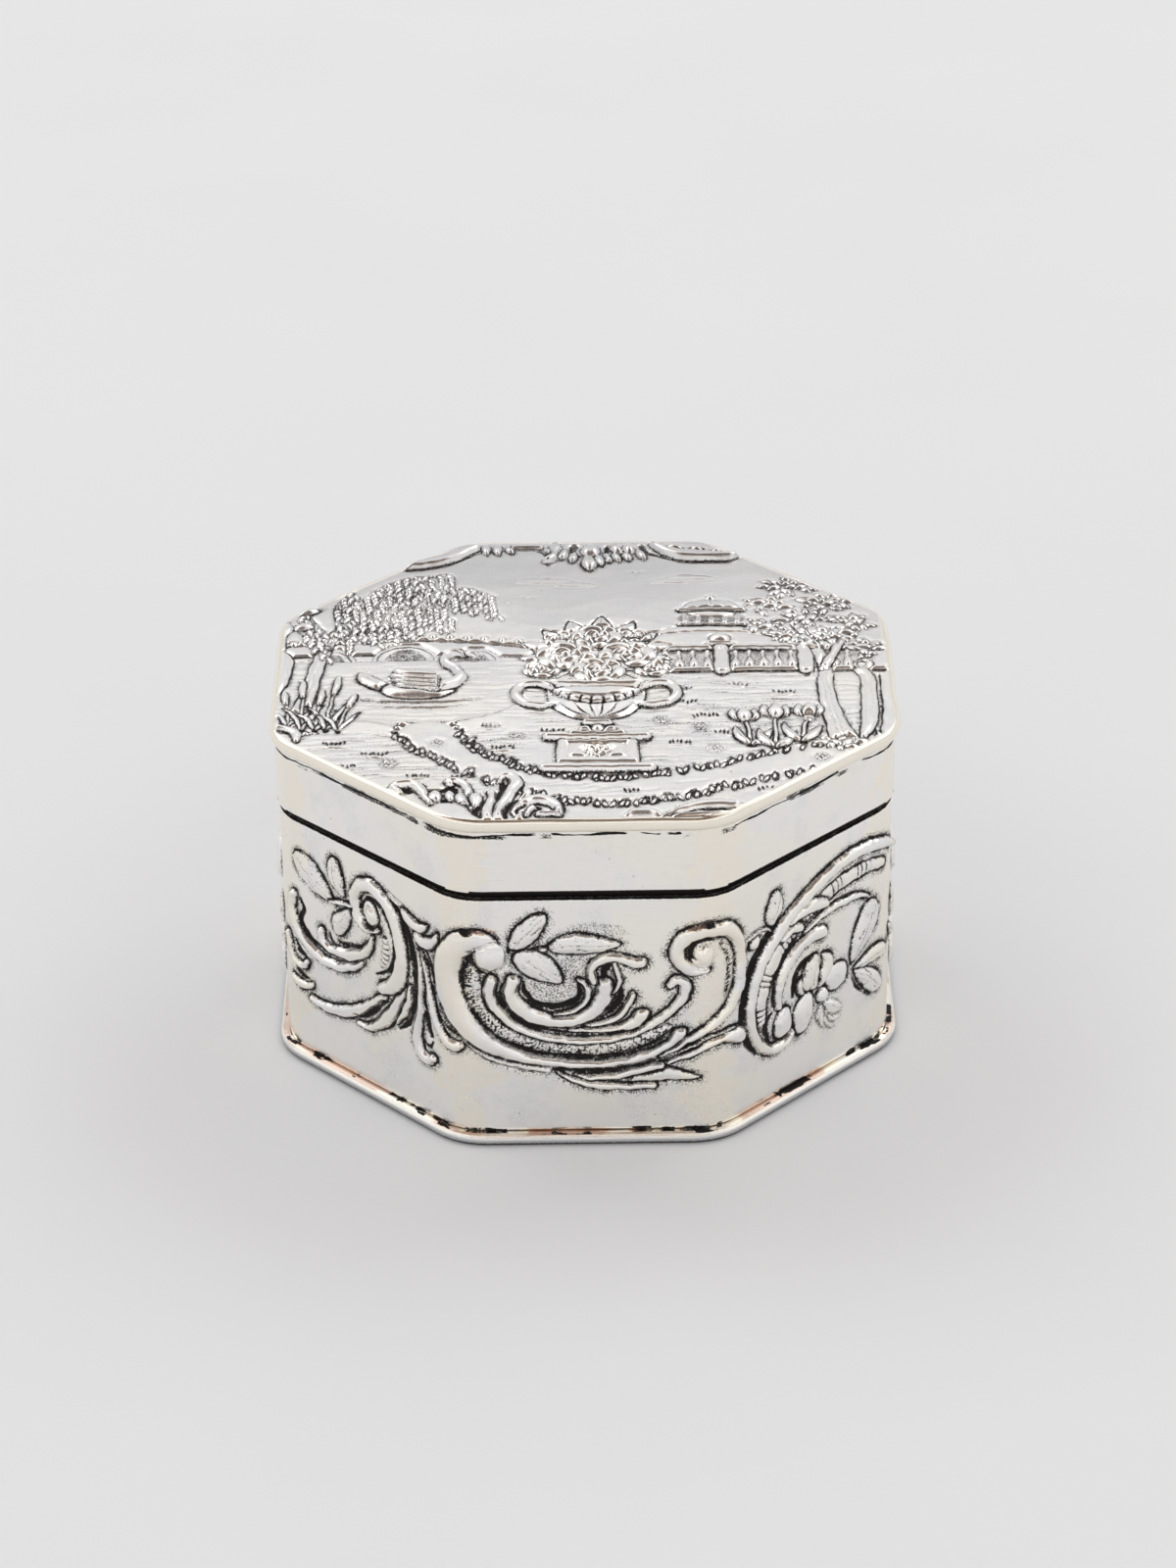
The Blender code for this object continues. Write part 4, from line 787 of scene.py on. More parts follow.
def lid_flowers(r):
    """Tulips before the path on the right, reeds at the lake and daisies in the grass."""
    for x, y, lean, tall in ((13.4, -13.2, -.5, 5.6), (15.3, -13.7, .15, 7), (17.4, -12.7, .8, 5.8)):
        band(r, [(x, y, .14), (x + lean * .5, y + tall * .5, .14), (x + lean, y + tall * .8, .12)], .3)
        for middle, tip in (((-1, 1.6), (-1.3, 3.4)), ((1, 1.3), (1.7, 2.8))):
            leaf(r, [(x, y), (x + middle[0], y + middle[1]), (x + tip[0], y + tip[1])], .42, .34, vein=.06,
                groove=.14)
        top = y + tall * .78
        for side in (-1, 1):
            leaf(r, [(x + lean, top), (x + lean + side * .75, top + .7), (x + lean + side * .85, top + 1.9)],
                .5, .42, line=.9, groove=.14)
        leaf(r, [(x + lean, top - .1), (x + lean + .05, top + .9), (x + lean, top + 2)], .6, .55)
    for x, y, tall, lean in ((-24, -9, 5.2, -.5), (-22.9, -9.6, 7.4, -.2), (-21.8, -9.9, 6.2, .3),
            (-20.9, -9.9, 8.4, .6), (-19.9, -10, 5.6, 1)):
        band(r, [(x, y, .13), (x + lean * .3, y + tall * .5, .11), (x + lean, y + tall, .08)], .26, line=.9)
        band(r, [(x + lean * .72, y + tall * .78, .2), (x + lean, y + tall, .3),
            (x + lean * 1.2, y + tall * 1.14, .18)], .36, line=.9)
        for bend, out, tip in ((-.8, .35, (-1.7, .52)), (.8, .32, (1.6, .6))):
            leaf(r, [(x, y), (x + bend, y + tall * out), (x + tip[0], y + tall * tip[1])], .2, .24)
    for x, y, size in ((-15.6, -15.6, .62), (-11.9, -12, .5), (-18.4, -18, .55), (6.2, -8.6, .55),
            (9.4, -9.9, .5), (-5.6, -10.9, .5), (18.9, -15.3, .6), (10.4, -13.6, .62), (18.2, -8.6, .5)):
        rosette(r, x, y, size, 6, .22, turn=x)


def lid_trees(r):
    """A willow over the lake at the left and a broad tree at the right."""
    band(r, [(-23.6, -8.2, 1), (-22.9, -5, .72), (-22.4, -1, .62), (-21.9, 3, .56), (-21, 7, .5),
        (-19.6, 10.6, .4)], .42, groove=.16)
    for shift in (-.22, .2):
        sink(r, [(-23.4 + shift, -7.6, .05), (-22.6 + shift, -2, .07), (-21.9 + shift, 2.6, .06),
            (-20.6 + shift * .6, 7.8, .04)], 0, dark=.55)
    limbs = (
        [(-20.6, 8.2), (-18.2, 12.6), (-14.2, 15.6), (-10.2, 16.2), (-7.6, 14.6)],
        [(-20, 9.6), (-18.6, 14), (-15.6, 17.8), (-11.6, 18.8)],
        [(-21.2, 6.4), (-22.6, 9.4), (-23.6, 11.6)],
        [(-20.9, 7.4), (-17.6, 10.2), (-14.4, 12.2), (-11.6, 12.2)],
        [(-20, 9.6), (-20.6, 13), (-19.6, 15.6)],
    )
    source = np.random.RandomState(31)
    for limb in limbs:
        rows = [(x, y, .3 - .05 * place) for place, (x, y) in enumerate(limb)]
        band(r, rows, .26, line=.7)
        path = smooth_path(rows, 5)
        for x, y, _ in path[2:]:
            fall = source.uniform(2.6, 5.2)
            for step in np.arange(0, fall, .62):
                side = source.choice([-1, 1])
                px = x + .10 * step
                leaf(r, [(px, y - step), (px + side * .3, y - step - .5), (px + side * .42, y - step - 1.15)],
                    .2, .28 * source.uniform(.7, 1.2), line=.75)
    band(r, [(20.9, -12.6, 1.2), (20.2, -8.4, .8), (19.8, -3.6, .64), (19.9, .6, .56), (19.2, 4.6, .46),
        (17.8, 8.4, .3)], .44, groove=.16)
    band(r, [(19.8, .2, .4), (21, 3.8, .36), (22.2, 7.4, .26)], .36)
    band(r, [(19.4, 4, .3), (17, 5.6, .26), (15.2, 7, .2)], .3)
    for shift in (-.25, .2):
        sink(r, [(20.6 + shift, -11.8, .06), (19.9 + shift, -5, .07), (19.8 + shift * .7, .4, .05)], 0,
            dark=.55)
    for place, (x, y, wide, tall, count) in enumerate(((17.4, 15.6, 2.2, 1.7, 17), (20.6, 12.4, 2.1, 1.8, 17),
            (15.6, 12.2, 1.9, 1.5, 14), (18.6, 9.6, 2.4, 1.6, 18), (22.6, 8.4, 1.5, 1.8, 13),
            (15.2, 8.2, 1.7, 1.2, 12), (20.8, 6.2, 1.9, 1.4, 14), (23.4, 4, 1.2, 1.5, 10),
            (17.2, 6.2, 1.5, 1, 10), (-23.2, -9.9, 1.2, .8, 8), (20.4, -13, 2, .8, 10))):
        foliage(r, x, y, wide, tall, count, 60 + place)


def lid_urn(r):
    """The footed urn on its plinth, with handles, a swag and a bouquet."""
    x = 1
    # plinth
    slab(r, (x - 3.3, -16.6), (x + 3.3, -11.6), .42)
    for left, low, right, high in ((-2.3, -15.2, -2.3, -12.9), (2.3, -15.2, 2.3, -12.9),
            (-2.3, -12.9, 2.3, -12.9), (-2.3, -15.2, 2.3, -15.2)):
        sink(r, [(x + left, low, .06), (x + right, high, .06)], 0, dark=.5)
    rosette(r, x, -14.05, 1, 8, .14, base=.34)
    bar(r, x, -16.9, 4.2, .55, .55, flat=.3, dome=.4, groove=.2)
    bar(r, x, -11.6, 3.9, .5, .55, flat=.3, dome=.4, groove=.16)
    # foot and body
    bar(r, x, -10.95, 2, .36, .42, flat=.4, groove=.14)
    bar(r, x, -10.3, 1.2, .34, .46, flat=.4)
    band(r, [(x, -8.2, .62), (x, -10.1, .5)], .4)
    bar(r, x, -9.2, .95, .32, .5)
    band(r, [(x, -4.7, 3.8), (x, -4, 4), (x, -3.2, 3.6), (x, -2.8, .1)], .5, groove=.18)
    for lean in (-1, -.6, -.2, .2, .6, 1):
        sink(r, [(x + .5 * lean, -8.2, .05), (x + 2.1 * lean, -7.2, .12), (x + 3 * lean, -5.9, .05)], -.30,
            dark=.85)
    band(r, [(x - 3.5, -3.7, .2), (x - 1.9, -4.9, .45), (x, -5.4, .55), (x + 1.9, -4.9, .45),
        (x + 3.5, -3.7, .2)], .2, base=.45, line=.85, ribs=(.9, .08, 0))
    bar(r, x, -2.3, 3.8, .55, .6, flat=.4, dome=.6, groove=.16)
    for side in (-1, 1):
        band(r, [(x + side * a, b, w) for a, b, w in ((3.7, -2.9, .3), (4.9, -2.1, .4), (6.2, -2.5, .44),
            (6.6, -4, .44), (5.9, -5.5, .42), (4.5, -6.1, .34), (3.6, -5.9, .2))], .5, groove=.16)
    # leaves, then flowers
    for angle, long in ((3, 6.4), (2.6, 7.2), (2.2, 7.4), (1.85, 8), (1.5, 8.6), (1.15, 8), (.8, 7.4),
            (.45, 7), (.1, 6.2), (3.4, 4.8), (-.25, 4.8)):
        c, s = math.cos(angle), math.sin(angle)
        leaf(r, [(x + 2.4 * c, 2.4 + 2 * s), (x + .62 * long * c, 2.2 + .62 * long * s),
            (x + long * c, 1.8 + long * s)], 1.05, .34, vein=.10, groove=.14)
    for cx, cy, size in ((x - 4.5, .6, 1.6), (x + 4.6, .7, 1.6), (x - 3, 6.2, 1.4), (x + 3.2, 6.3, 1.4)):
        blossom(r, cx, cy, size, 5, .34, turn=cx)
    for cx, cy, size, tall, turn in ((x + .1, 6.5, 2.1, .42, .3), (x - 2.5, 3, 2.5, .48, .1),
            (x + 2.6, 3.1, 2.4, .48, .5), (x + .1, .2, 2.3, .5, .26)):
        blossom(r, cx, cy, size, 6, tall, turn=turn)


def lid_border(r):
    """The scrolls, shells and acanthus leaves that frame the picture."""
    # front left: acanthus between two scrolls
    band(r, [(-14.6, -20.6, .25), (-15.1, -19.9, .42), (-14.6, -19.2, .48), (-13.7, -19.2, .5),
        (-13.1, -20, .5), (-12.6, -21.2, .42), (-12.2, -22.4, .2)], .5)
    sink(r, [(-14.6, -19.9, .3), (-14, -20.1, .42), (-13.9, -20.5, .2)], .2)
    sink(r, [(-12.5, -20.2, .2), (-11.4, -20.2, .3), (-10.6, -20, .45), (-10.4, -21.4, .4),
        (-11.2, -21.9, .3)], .2)
    band(r, [(-10.7, -19.4, .25), (-10.9, -18.9, .3), (-10.3, -18.8, .38), (-9.6, -19.4, .4),
        (-9.2, -20.6, .34), (-9.3, -22, .3), (-8.9, -23.4, .2)], .46)
    leaf(r, [(-11.9, -20.5), (-11.8, -21.3), (-11.7, -22.1)], .5, .4)
    leaf(r, [(-10.7, -20.6), (-10.6, -21.4), (-10.6, -22.1)], .45, .4)
    leaf(r, [(-10, -20.9), (-9.7, -21.9), (-9.2, -22.9)], .4, .4)
    sink(r, [(-9, -20.8, .12), (-8.3, -21.4, .2), (-8.3, -22.6, .3), (-8.7, -23.8, .3), (-8.3, -24.7, .12)],
        .2)
    leaf(r, [(-8.8, -21), (-8.6, -21.9), (-8.8, -23.2)], .5, .4)
    band(r, [(-7.5, -20.7, .3), (-7.2, -21.4, .5), (-7.4, -22.6, .55), (-7.7, -23.8, .5), (-7.7, -24.9, .42)],
        .46)
    sink(r, [(-6.5, -19.1, .2), (-6.6, -20.3, .3), (-6.9, -21.4, .2), (-6.9, -22.8, .12)], .2)
    band(r, [(-6.8, -18.9, .16), (-6.4, -18.2, .3), (-5.7, -18.3, .5), (-5.5, -19.4, .55), (-5.9, -20.7, .5),
        (-6.3, -22, .5), (-6.7, -23.4, .5), (-6.9, -24.9, .4)], .52)
    sink(r, [(-6, -19, .05), (-6.3, -21, .07), (-6.9, -22.9, .07), (-7.3, -24.6, .06)], -.2, dark=.6)
    sink(r, [(-5.1, -21.6, .16), (-5.9, -22.6, .2), (-6.3, -23.8, .25), (-6.3, -24.9, .2)], .2)
    band(r, [(-4.9, -20.5, .1), (-4.6, -20.6, .32), (-4.7, -21.4, .3), (-5.2, -21.9, .1)], .36)
    band(r, [(-5.2, -24.9, .3), (-5.4, -23.9, .42), (-4.9, -22.7, .55), (-3.8, -22, .62), (-2.6, -22.6, .6),
        (-2.1, -23.6, .45), (-2.3, -24.7, .2)], .5)
    sink(r, [(-5.3, -24.6, .12), (-5.35, -23.8, .16), (-4.8, -23, .1)], .15)
    band(r, [(-4.6, -24.6, .2), (-4.4, -23.7, .3), (-3.9, -23.3, .25)], .4)
    sink(r, [(-3.8, -23.1, .2), (-3.7, -23.7, .16), (-4, -24.3, .1)], .18)
    sink(r, [(-3.4, -24, .08), (-2.8, -23.8, .18), (-2.5, -23.5, .12)], .18)
    band(r, [(-3.6, -24.5, .3), (-2.8, -24.5, .34), (-2.1, -24.6, .2)], .44)
    sink(r, [(-1.9, -22.4, .08), (-1.7, -23.3, .14), (-1.75, -24.3, .14), (-2.1, -25, .1)], .15)
    # front right: a low scroll with a hooked eye
    band(r, [(3.2, -24.6, .2), (4, -24, .45), (5, -24.1, .45), (5.8, -24.8, .2)], .22, line=.4)
    band(r, [(5.9, -25, .12), (6.9, -24.5, .3), (8.2, -23.6, .55), (9.8, -23.1, .62), (11.4, -23.2, .55),
        (12.4, -23.5, .3)], .42)
    sink(r, [(8.9, -24.3, .08), (9.7, -24, .2), (10.6, -23.9, .22), (11.1, -24.1, .12)], .15)
    band(r, [(6.9, -25, .2), (8.6, -24.9, .4), (10.4, -24.7, .3), (11.6, -24.3, .2)], .34)
    # back: shell between leaves and two smooth bands
    band(r, [(6, 24.4, .3), (6.9, 23.2, .5), (8.2, 22.3, .8), (9.6, 21.95, .85), (11.2, 21.8, .7),
        (12.6, 21.7, .62), (13.4, 22.2, .3)], .6)
    sink(r, [(5.1, 24.2, .3), (5.5, 23, .35), (6.6, 22.2, .22), (7.8, 21.4, .14), (9.6, 20.95, .14),
        (12.4, 20.85, .12)], .16, dark=.85)
    for x, y, wide, tall in ((8, 23.9, .7, .4), (9.9, 23.5, .6, .36), (11.6, 22.9, .5, .34)):
        bead(r, x, y, wide, tall, .3, turn=-.4)
    band(r, [(-9, 24.2, .35), (-9.9, 23.4, .6), (-11.2, 22.4, .8), (-12.8, 21.4, .8), (-14.4, 20.7, .6),
        (-16.2, 20.2, .3)], .5)
    sink(r, [(-9, 23.1, .1), (-10.3, 21.9, .16), (-11.8, 20.8, .16), (-13.8, 20.1, .14), (-16, 19.8, .08)],
        .14, dark=.8)
    for x in (-8.3, -7.3):
        leaf(r, [(x, 24.4), (x - .1, 23.4), (x + .1, 22.5)], .42, .4)
    leaf(r, [(-6.2, 24.3), (-6.3, 23.5), (-6, 22.8)], .4, .36)
    band(r, [(-6, 24, .2), (-4.8, 24.1, .3), (-3.6, 24.1, .25)], .3)
    sink(r, [(-3.9, 23.6, .16), (-3.3, 23.3, .4), (-3.1, 22.5, .25), (-2.9, 21.9, .1)], .2)
    band(r, [(-2.4, 24.2, .5), (-2.2, 23.2, .55), (-2.3, 22.2, .5), (-2.9, 21.4, .55)], .56)
    sink(r, [(-.7, 24.2, .45), (-.8, 23.2, .3), (-.2, 22.3, .2)], .2)
    for x, low, lean, wide, tall in ((-1.6, 21.6, -.15, .42, .44), (-.8, 20.9, -.2, .4, .46),
            (2.1, 20.8, .3, .4, .42), (2.9, 21, .35, .4, .42), (3.8, 21.2, .3, .4, .42),
            (5, 21.4, .4, .42, .42)):
        leaf(r, [(x - lean, low + 2.2), (x, low + 1), (x + lean, low)], wide, tall, blunt=1.2)
    leaf(r, [(.5, 22.6), (.6, 21), (.6, 19.3)], .72, .62, vein=.08, blunt=1.3)
    leaf(r, [(1.3, 22.4), (1.5, 21.2), (1.7, 20.1)], .4, .4)
    bead(r, .7, 23.2, .85, 1.1, .6, crease=.16)
    for x, y in ((3, 23.4), (4, 23.4)):
        bead(r, x, y, .55, .85, .5, turn=.3)
    sink(r, [(2.2, 24, .3), (2.1, 23.2, .25), (2, 22.5, .12)], .18)
    # left edge: shells and a bracket
    bead(r, -23.3, 11.9, 1, .5, .36, turn=.3)
    bead(r, -23.6, 9, .9, .55, .36, turn=.35)
    band(r, [(-25.4, 10.6, .3), (-24.8, 8.8, .35), (-25.4, 7, .4), (-25.1, 4.9, .3)], .3)
    band(r, [(-25.2, 4.6, .2), (-24.7, 3, .5), (-24.8, .6, .62), (-25, -1.6, .5), (-25.5, -3.8, .2)], .34,
        dome=.5)
    band(r, [(-25.6, -9.2, .3), (-24.2, -9.5, .42), (-23.3, -10.4, .4), (-23.2, -11.6, .25)], .34)
    # right edge: a smooth bracket
    band(r, [(22.9, -.2, .6), (23.3, -1.6, .6), (23.3, -4, .62), (23.2, -7, .66), (22.9, -10, .62),
        (22.4, -12, .3)], .36, dome=.5)
    sink(r, [(24.3, -1, .12), (24.3, -3.6, .13), (24.2, -7, .13), (23.8, -11.4, .08)], .16)
    bead(r, 23.1, .9, .8, .95, .4)
    bead(r, 22.9, .9, .3, .5, -.1, line=.8)


def lid_picture(r):
    """The whole stamping of the lid, from the far hills to the border."""
    lid_distance(r)
    lid_lake(r)
    lid_lawn(r)
    lid_trees(r)
    lid_flowers(r)
    lid_urn(r)
    lid_border(r)


# Wall
FACE_STEPS = ((HALF_FACE - CORNER_REACH, 12), (NOTCH_HALF, 16))  # columns from a corner in to each place
MIDDLE_STEPS = 144  # columns over the width of the hinge's cut
LOW_ROWS, HIGH_ROWS, EDGE_ROWS = 200, 8, 4  # rows below the cut, beside it and on the rounded top edge
EDGE_ROUND = 0.14
COARSE = 4  # samples of the outer skin to each of the inner one
BACK_SHARE = 0.85  # how much of the relief shows on the back of the sheet
BACK_TARNISH = 0.12
UV_CELLS, UV_EDGE, UV_SIDE = 3, 0.02, 0.96  # the faces' cells in the UV map, and where a face lies in its own
RIM_LOW, RIM_SIDE, RIM_COUNT = 8 / 9 + 0.005, 0.1, 40  # the square of the map that holds the rims' faces

# Along the wall's foot: middles on the frieze and half lengths of the marks
FOOT_BLACK = ((-30.0, 0.4), (-12.8, 1.2), (-9.7, 0.7), (-7.6, 1.1), (4.2, 1.1), (6.3, 0.7), (8.7, 1.4),
              (26.4, 0.8), (30.0, 1.0))
FOOT_COPPER = ((-25.5, 3.6), (-1.9, 4.4), (5.5, 3.0), (18.5, 6.5))
FOOT_TALL, FOOT_SOFT = 0.22, 0.10  # how far up they reach, and how soft their upper edge is
# How patchy they are: middle, swing, seed and length, and bounds other than 0 and 1
FOOT_BROKEN, FOOT_FINE = (0.85, 0.35, 32, 0.9), (-0.45, 0.9, 31, 1.6, 0, 0.7)
FOOT_WORN = (0.68, 0.45, 34, 2.2, 0.25, 0.9)

# Undulations: how deep, their seed and their length
FOOT_UNEVEN = ((0.10, 33, 1.3),)  # of the marks' upper edge
WALL_UNEVEN = ((0.022, 11, 7.0), (0.008, 12, 2.6))  # of the sheet
HAND_ALONG = ((0.055, 41, 1.6), (0.025, 42, 0.6))  # of the drawn lines, along the wall and up
HAND_UP = ((0.055, 43, 1.6), (0.025, 44, 0.6))
TOP_FADE, FOOT_FADE = 1.5, 1.0  # mm at the wall's edges over which the sheet gets straight

# How the drawn frieze is bent to lie on the wall, as the photo shows it
FRIEZE_TOP, FRIEZE_TALL = 21, 18
LEFT_DRIFT, RIGHT_DRIFT = (0.0195, 0.013), (0.030, 0.011)  # on a chamfer, at the top and added at the foot
CLIMB = (0.024, 0.013)  # upward in the same way
FRIEZE_SHIFT = (0, 1, 0, -1)  # the front face and the next three: how many faces off the frieze's middle


def along_foot(marks, s):
    """1 on the marks of a list, soft at their ends."""
    return np.max([np.clip(3 - 3 * np.abs(s - middle) / half, 0, 1) for middle, half in marks], axis=0)


def face_columns():
    """Places along one face, from the middle of a corner to that of the next, in mm."""
    half = [HALF_FACE]
    for place, count in FACE_STEPS:
        half += list(np.linspace(half[-1], place, count + 1)[1:])
    half = np.array(half)
    middle = np.linspace(-NOTCH_HALF, NOTCH_HALF, MIDDLE_STEPS + 1)
    return np.concatenate([-half, middle[1:-1], half[::-1]])[:-1]


def on_octagon(s, apothem, radius):
    """Offset along a face, offset out from the axis and outward normal of places on the sharp octagon."""
    half = apothem * math.tan(math.pi / 8)
    reach = radius * math.tan(math.pi / 8)
    bend = np.clip((np.abs(s) - (half - reach)) / reach, 0, 1) * math.pi / 8
    side = np.sign(s)
    along = np.clip(s, -(half - reach), half - reach) + side * radius * np.sin(bend)
    out = apothem - radius + radius * np.cos(bend)
    return along, out, side * np.sin(bend), np.cos(bend)


def drawn_place(s, z):
    """Where in the drawn frieze a place of the wall lies: the frieze climbs a little on the chamfers."""
    left = np.maximum(-HALF_FACE - s, 0)
    right = np.maximum(s - HALF_FACE, 0)
    low = (FRIEZE_TOP - z) / FRIEZE_TALL
    drift = left * (LEFT_DRIFT[0] + LEFT_DRIFT[1] * low) - right * (RIGHT_DRIFT[0] + RIGHT_DRIFT[1] * low)
    drift = drift - 0.20 * low * np.clip((s + 10) / 20, 0, 1)
    climb = 0.49 * low - 0.06 + (left + right) * (CLIMB[0] + CLIMB[1] * low)
    return s - drift, z - climb


def wall_relief(face, s, z):
    """Height, tarnish with some painted shade, and brown tint of the ornament on one of the eight faces,
    counted from the front.
    """
    kind = face % 4
    place = np.stack([s, z, np.full_like(s, 9.0 * kind)], axis=2)
    s, z = dents(place, HAND_ALONG, s), dents(place, HAND_UP, z)
    if kind == 2:
        fields = [SIDE.sample(field, s, z) for field in (SIDE.height, SIDE.dark, SIDE.warm)]
        shifts = (-2, 2)
    else:
        fields = [np.zeros_like(s) for _ in range(3)]
        shifts = (FRIEZE_SHIFT[kind],)
    for shift in shifts:
        strip_s, strip_z = drawn_place(s + 2 * shift * HALF_FACE, z)
        inside = np.abs(strip_s) < STRIP_HALF
        for number, field in enumerate((STRIP.height, STRIP.dark, STRIP.warm)):
            fields[number] = fields[number] + np.where(inside, STRIP.sample(field, strip_s, strip_z), 0)
    return fields


def foot_marks(face, s, z, places):
    """Black and copper along the wall's foot, on one face."""
    foot = np.clip((dents(places, FOOT_UNEVEN, WALL_LOW + FOOT_TALL) - z) / FOOT_SOFT, 0, 1)
    s = s + 2 * FRIEZE_SHIFT[face % 4] * HALF_FACE
    broken = along_foot(FOOT_BLACK, s) * patchy(places, *FOOT_BROKEN)
    copper = along_foot(FOOT_COPPER, s) * patchy(places, *FOOT_WORN)
    return np.maximum(foot * broken, foot * patchy(places, *FOOT_FINE)), foot * copper


def wall_places():
    """The outer and the inner skin's places in rows round the wall, and the outer one's tarnish, painted
    shade and tint.
    """
    columns = face_columns()
    low = np.linspace(WALL_LOW, NOTCH_LOW, LOW_ROWS + 1)
    high = np.linspace(NOTCH_LOW, WALL_SEAM - EDGE_ROUND, HIGH_ROWS + 1)[1:]
    rounding = np.linspace(0, math.pi / 2, EDGE_ROWS + 1)[1:]
    levels = np.concatenate([low, high, WALL_SEAM - EDGE_ROUND + EDGE_ROUND * np.sin(rounding)])
    inset = np.concatenate([np.zeros(len(low) + len(high)), EDGE_ROUND * (1 - np.cos(rounding))])[:, None]
    # painted shade: the rounded top edge is blackened where it lies in the shaded seam under the lid
    rim_painted_seam_shade = np.clip(inset / EDGE_ROUND * 2.5, 0, 1)
    s, z = np.meshgrid(columns, levels)
    along, out, normal_s, normal_out = on_octagon(s, WALL_APOTHEM, CORNER_RADIUS)
    fade = np.clip((WALL_SEAM - z) / TOP_FADE, 0, 1) * np.clip((z - WALL_LOW) / FOOT_FADE, 0, 1)
    faces = []
    for face in range(8):
        height, dark, warm = wall_relief(face, s, z)
        c, d = math.cos(face * math.pi / 4), math.sin(face * math.pi / 4)
        spin = np.array([[c, d, 0], [-d, c, 0], [0, 0, 1]])
        flat = np.stack([along, -out, z], axis=2) @ spin
        normal = np.stack([normal_s, -normal_out, np.zeros_like(s)], axis=2) @ spin
        push = height + dents(flat, WALL_UNEVEN) * fade - inset
        back = BACK_SHARE * blur(height, 3) * fade - WALL_SHEET
        black, copper = foot_marks(face, s, z, flat)
        tone = np.maximum.reduce([dark, black, rim_painted_seam_shade + np.zeros_like(s)])
        faces.append((flat + normal * push[..., None], flat + normal * back[..., None], tone,
                      np.maximum(warm, copper)))
    outer, inner, tone, warmth = (np.concatenate(parts, axis=1) for parts in zip(*faces))
    inner = inner[::COARSE, ::COARSE]
    inner[-1, :, 2] = WALL_SEAM
    return outer, inner, tone, warmth


def skin_faces(numbers, step, inside):
    """A skin's faces but for the hinge's cut, their UV places, and the cut's first and last column."""
    rows, count = numbers.shape
    per_face = count * step // 8
    r, c = np.meshgrid(np.arange(rows - 1), np.arange(count), indexing="ij")
    start = (4 * per_face + (per_face - MIDDLE_STEPS) // 2) // step
    stop = start + MIDDLE_STEPS // step
    notch = (r >= LOW_ROWS // step) & (c >= start) & (c < stop)
    r, c = r[~notch], c[~notch]
    home = c * step // per_face
    face, uv = [], []
    for right, up in ((0, 0), (1, 0), (1, 1), (0, 1)):
        face.append(numbers[r + up, (c + right) % count])
        u = ((c + right) * step - home * per_face) / per_face
        v = (r + up) / (rows - 1)
        cell = np.stack([(home % UV_CELLS + UV_EDGE + UV_SIDE * u) / UV_CELLS,
                         (home // UV_CELLS + UV_EDGE + UV_SIDE * v) / UV_CELLS], axis=-1)
        uv.append(2 / 3 + cell / 3 if inside else cell)
    face, uv = np.stack(face, axis=1), np.stack(uv, axis=1)
    if inside:
        face, uv = face[:, ::-1], uv[:, ::-1]
    return face, uv, start, stop


def make_wall():
    """The stamped sheet of the wall: a fine outer skin, a coarser back, and the rims between them."""
    outer, inner, tone, warmth = wall_places()
    rows, total = tone.shape
    in_rows, in_total = inner.shape[:2]
    number = np.arange(rows * total).reshape(rows, total)
    in_number = rows * total + np.arange(in_rows * in_total).reshape(in_rows, in_total)
    face, uv, start, stop = skin_faces(number, 1, inside=False)
    in_face, in_uv, in_start, in_stop = skin_faces(in_number, COARSE, inside=True)

    sill, in_sill = LOW_ROWS, LOW_ROWS // COARSE
    around = (stop + np.arange(total - MIDDLE_STEPS + 1)) % total
    in_around = (in_stop + np.arange(in_total - MIDDLE_STEPS // COARSE + 1)) % in_total
    rims = np.concatenate([
        stitch(number[0], in_number[0], closed=True, flip=True),
        stitch(number[-1, around], in_number[-1, in_around]),
        stitch(number[sill, start:stop + 1], in_number[in_sill, in_start:in_stop + 1]),
        stitch(number[sill:, start], in_number[in_sill:, in_start], flip=True),
        stitch(number[sill:, stop], in_number[in_sill:, in_stop]),
    ])
    place = np.arange(len(rims))
    base = np.stack([RIM_LOW + RIM_SIDE * (place % RIM_COUNT) / RIM_COUNT,
                     RIM_LOW + RIM_SIDE * (place // RIM_COUNT) / (len(rims) // RIM_COUNT + 1)], axis=1)
    shape = np.array([(0, 0), (.25, 0), (.5, 0), (.75, 0), (1, 0), (1, 1), (0, 1)])
    rim_uv = base[:, None, :] + shape[None] * (0.8 * (RIM_SIDE / RIM_COUNT))

    places = np.concatenate([outer.reshape(-1, 3), inner.reshape(-1, 3)])
    marks = {"tarnish": np.concatenate([tone.ravel(), np.full(in_rows * in_total, BACK_TARNISH)]),
             "warmth": np.concatenate([warmth.ravel(), np.zeros(in_rows * in_total)])}
    return mesh_from("wall_of_silver", places, [face, in_face, rims], [uv, in_uv, rim_uv], marks)


def stitch(fine, coarse, closed=False, flip=False):
    """Seven-sided faces that join a fine edge to a coarse one."""
    faces = []
    for place in range(len(coarse) if closed else len(coarse) - 1):
        loop = [fine[(place * COARSE + step) % len(fine)] for step in range(COARSE + 1)]
        loop += [coarse[(place + 1) % len(coarse)], coarse[place]]
        faces.append(loop[::-1] if flip else loop)
    return np.array(faces)


# Lid plate
RINGS = 248
LIP_ROLL = 0.45  # how far in from the lip's edge its top starts to turn down
FLAT_OUT = LIP_OUT - LIP_ROLL
LIP_STEPS = 18
LIP_WAVE = 0.04  # how uneven the lip is
LIP_LINE = 3  # steps above the lip's lower edge that its dark line covers
UNDER_IN = 0.4  # between the lip's inner face and the sheet's underside
PRESSED_OUT = 24.4  # apothem up to which the underside shows the relief's back
EDGE_SOFT = 0.3  # mm over which the colours change at the flat's edge
LID_SHARE = 0.85  # how much of the drawn height the lid has
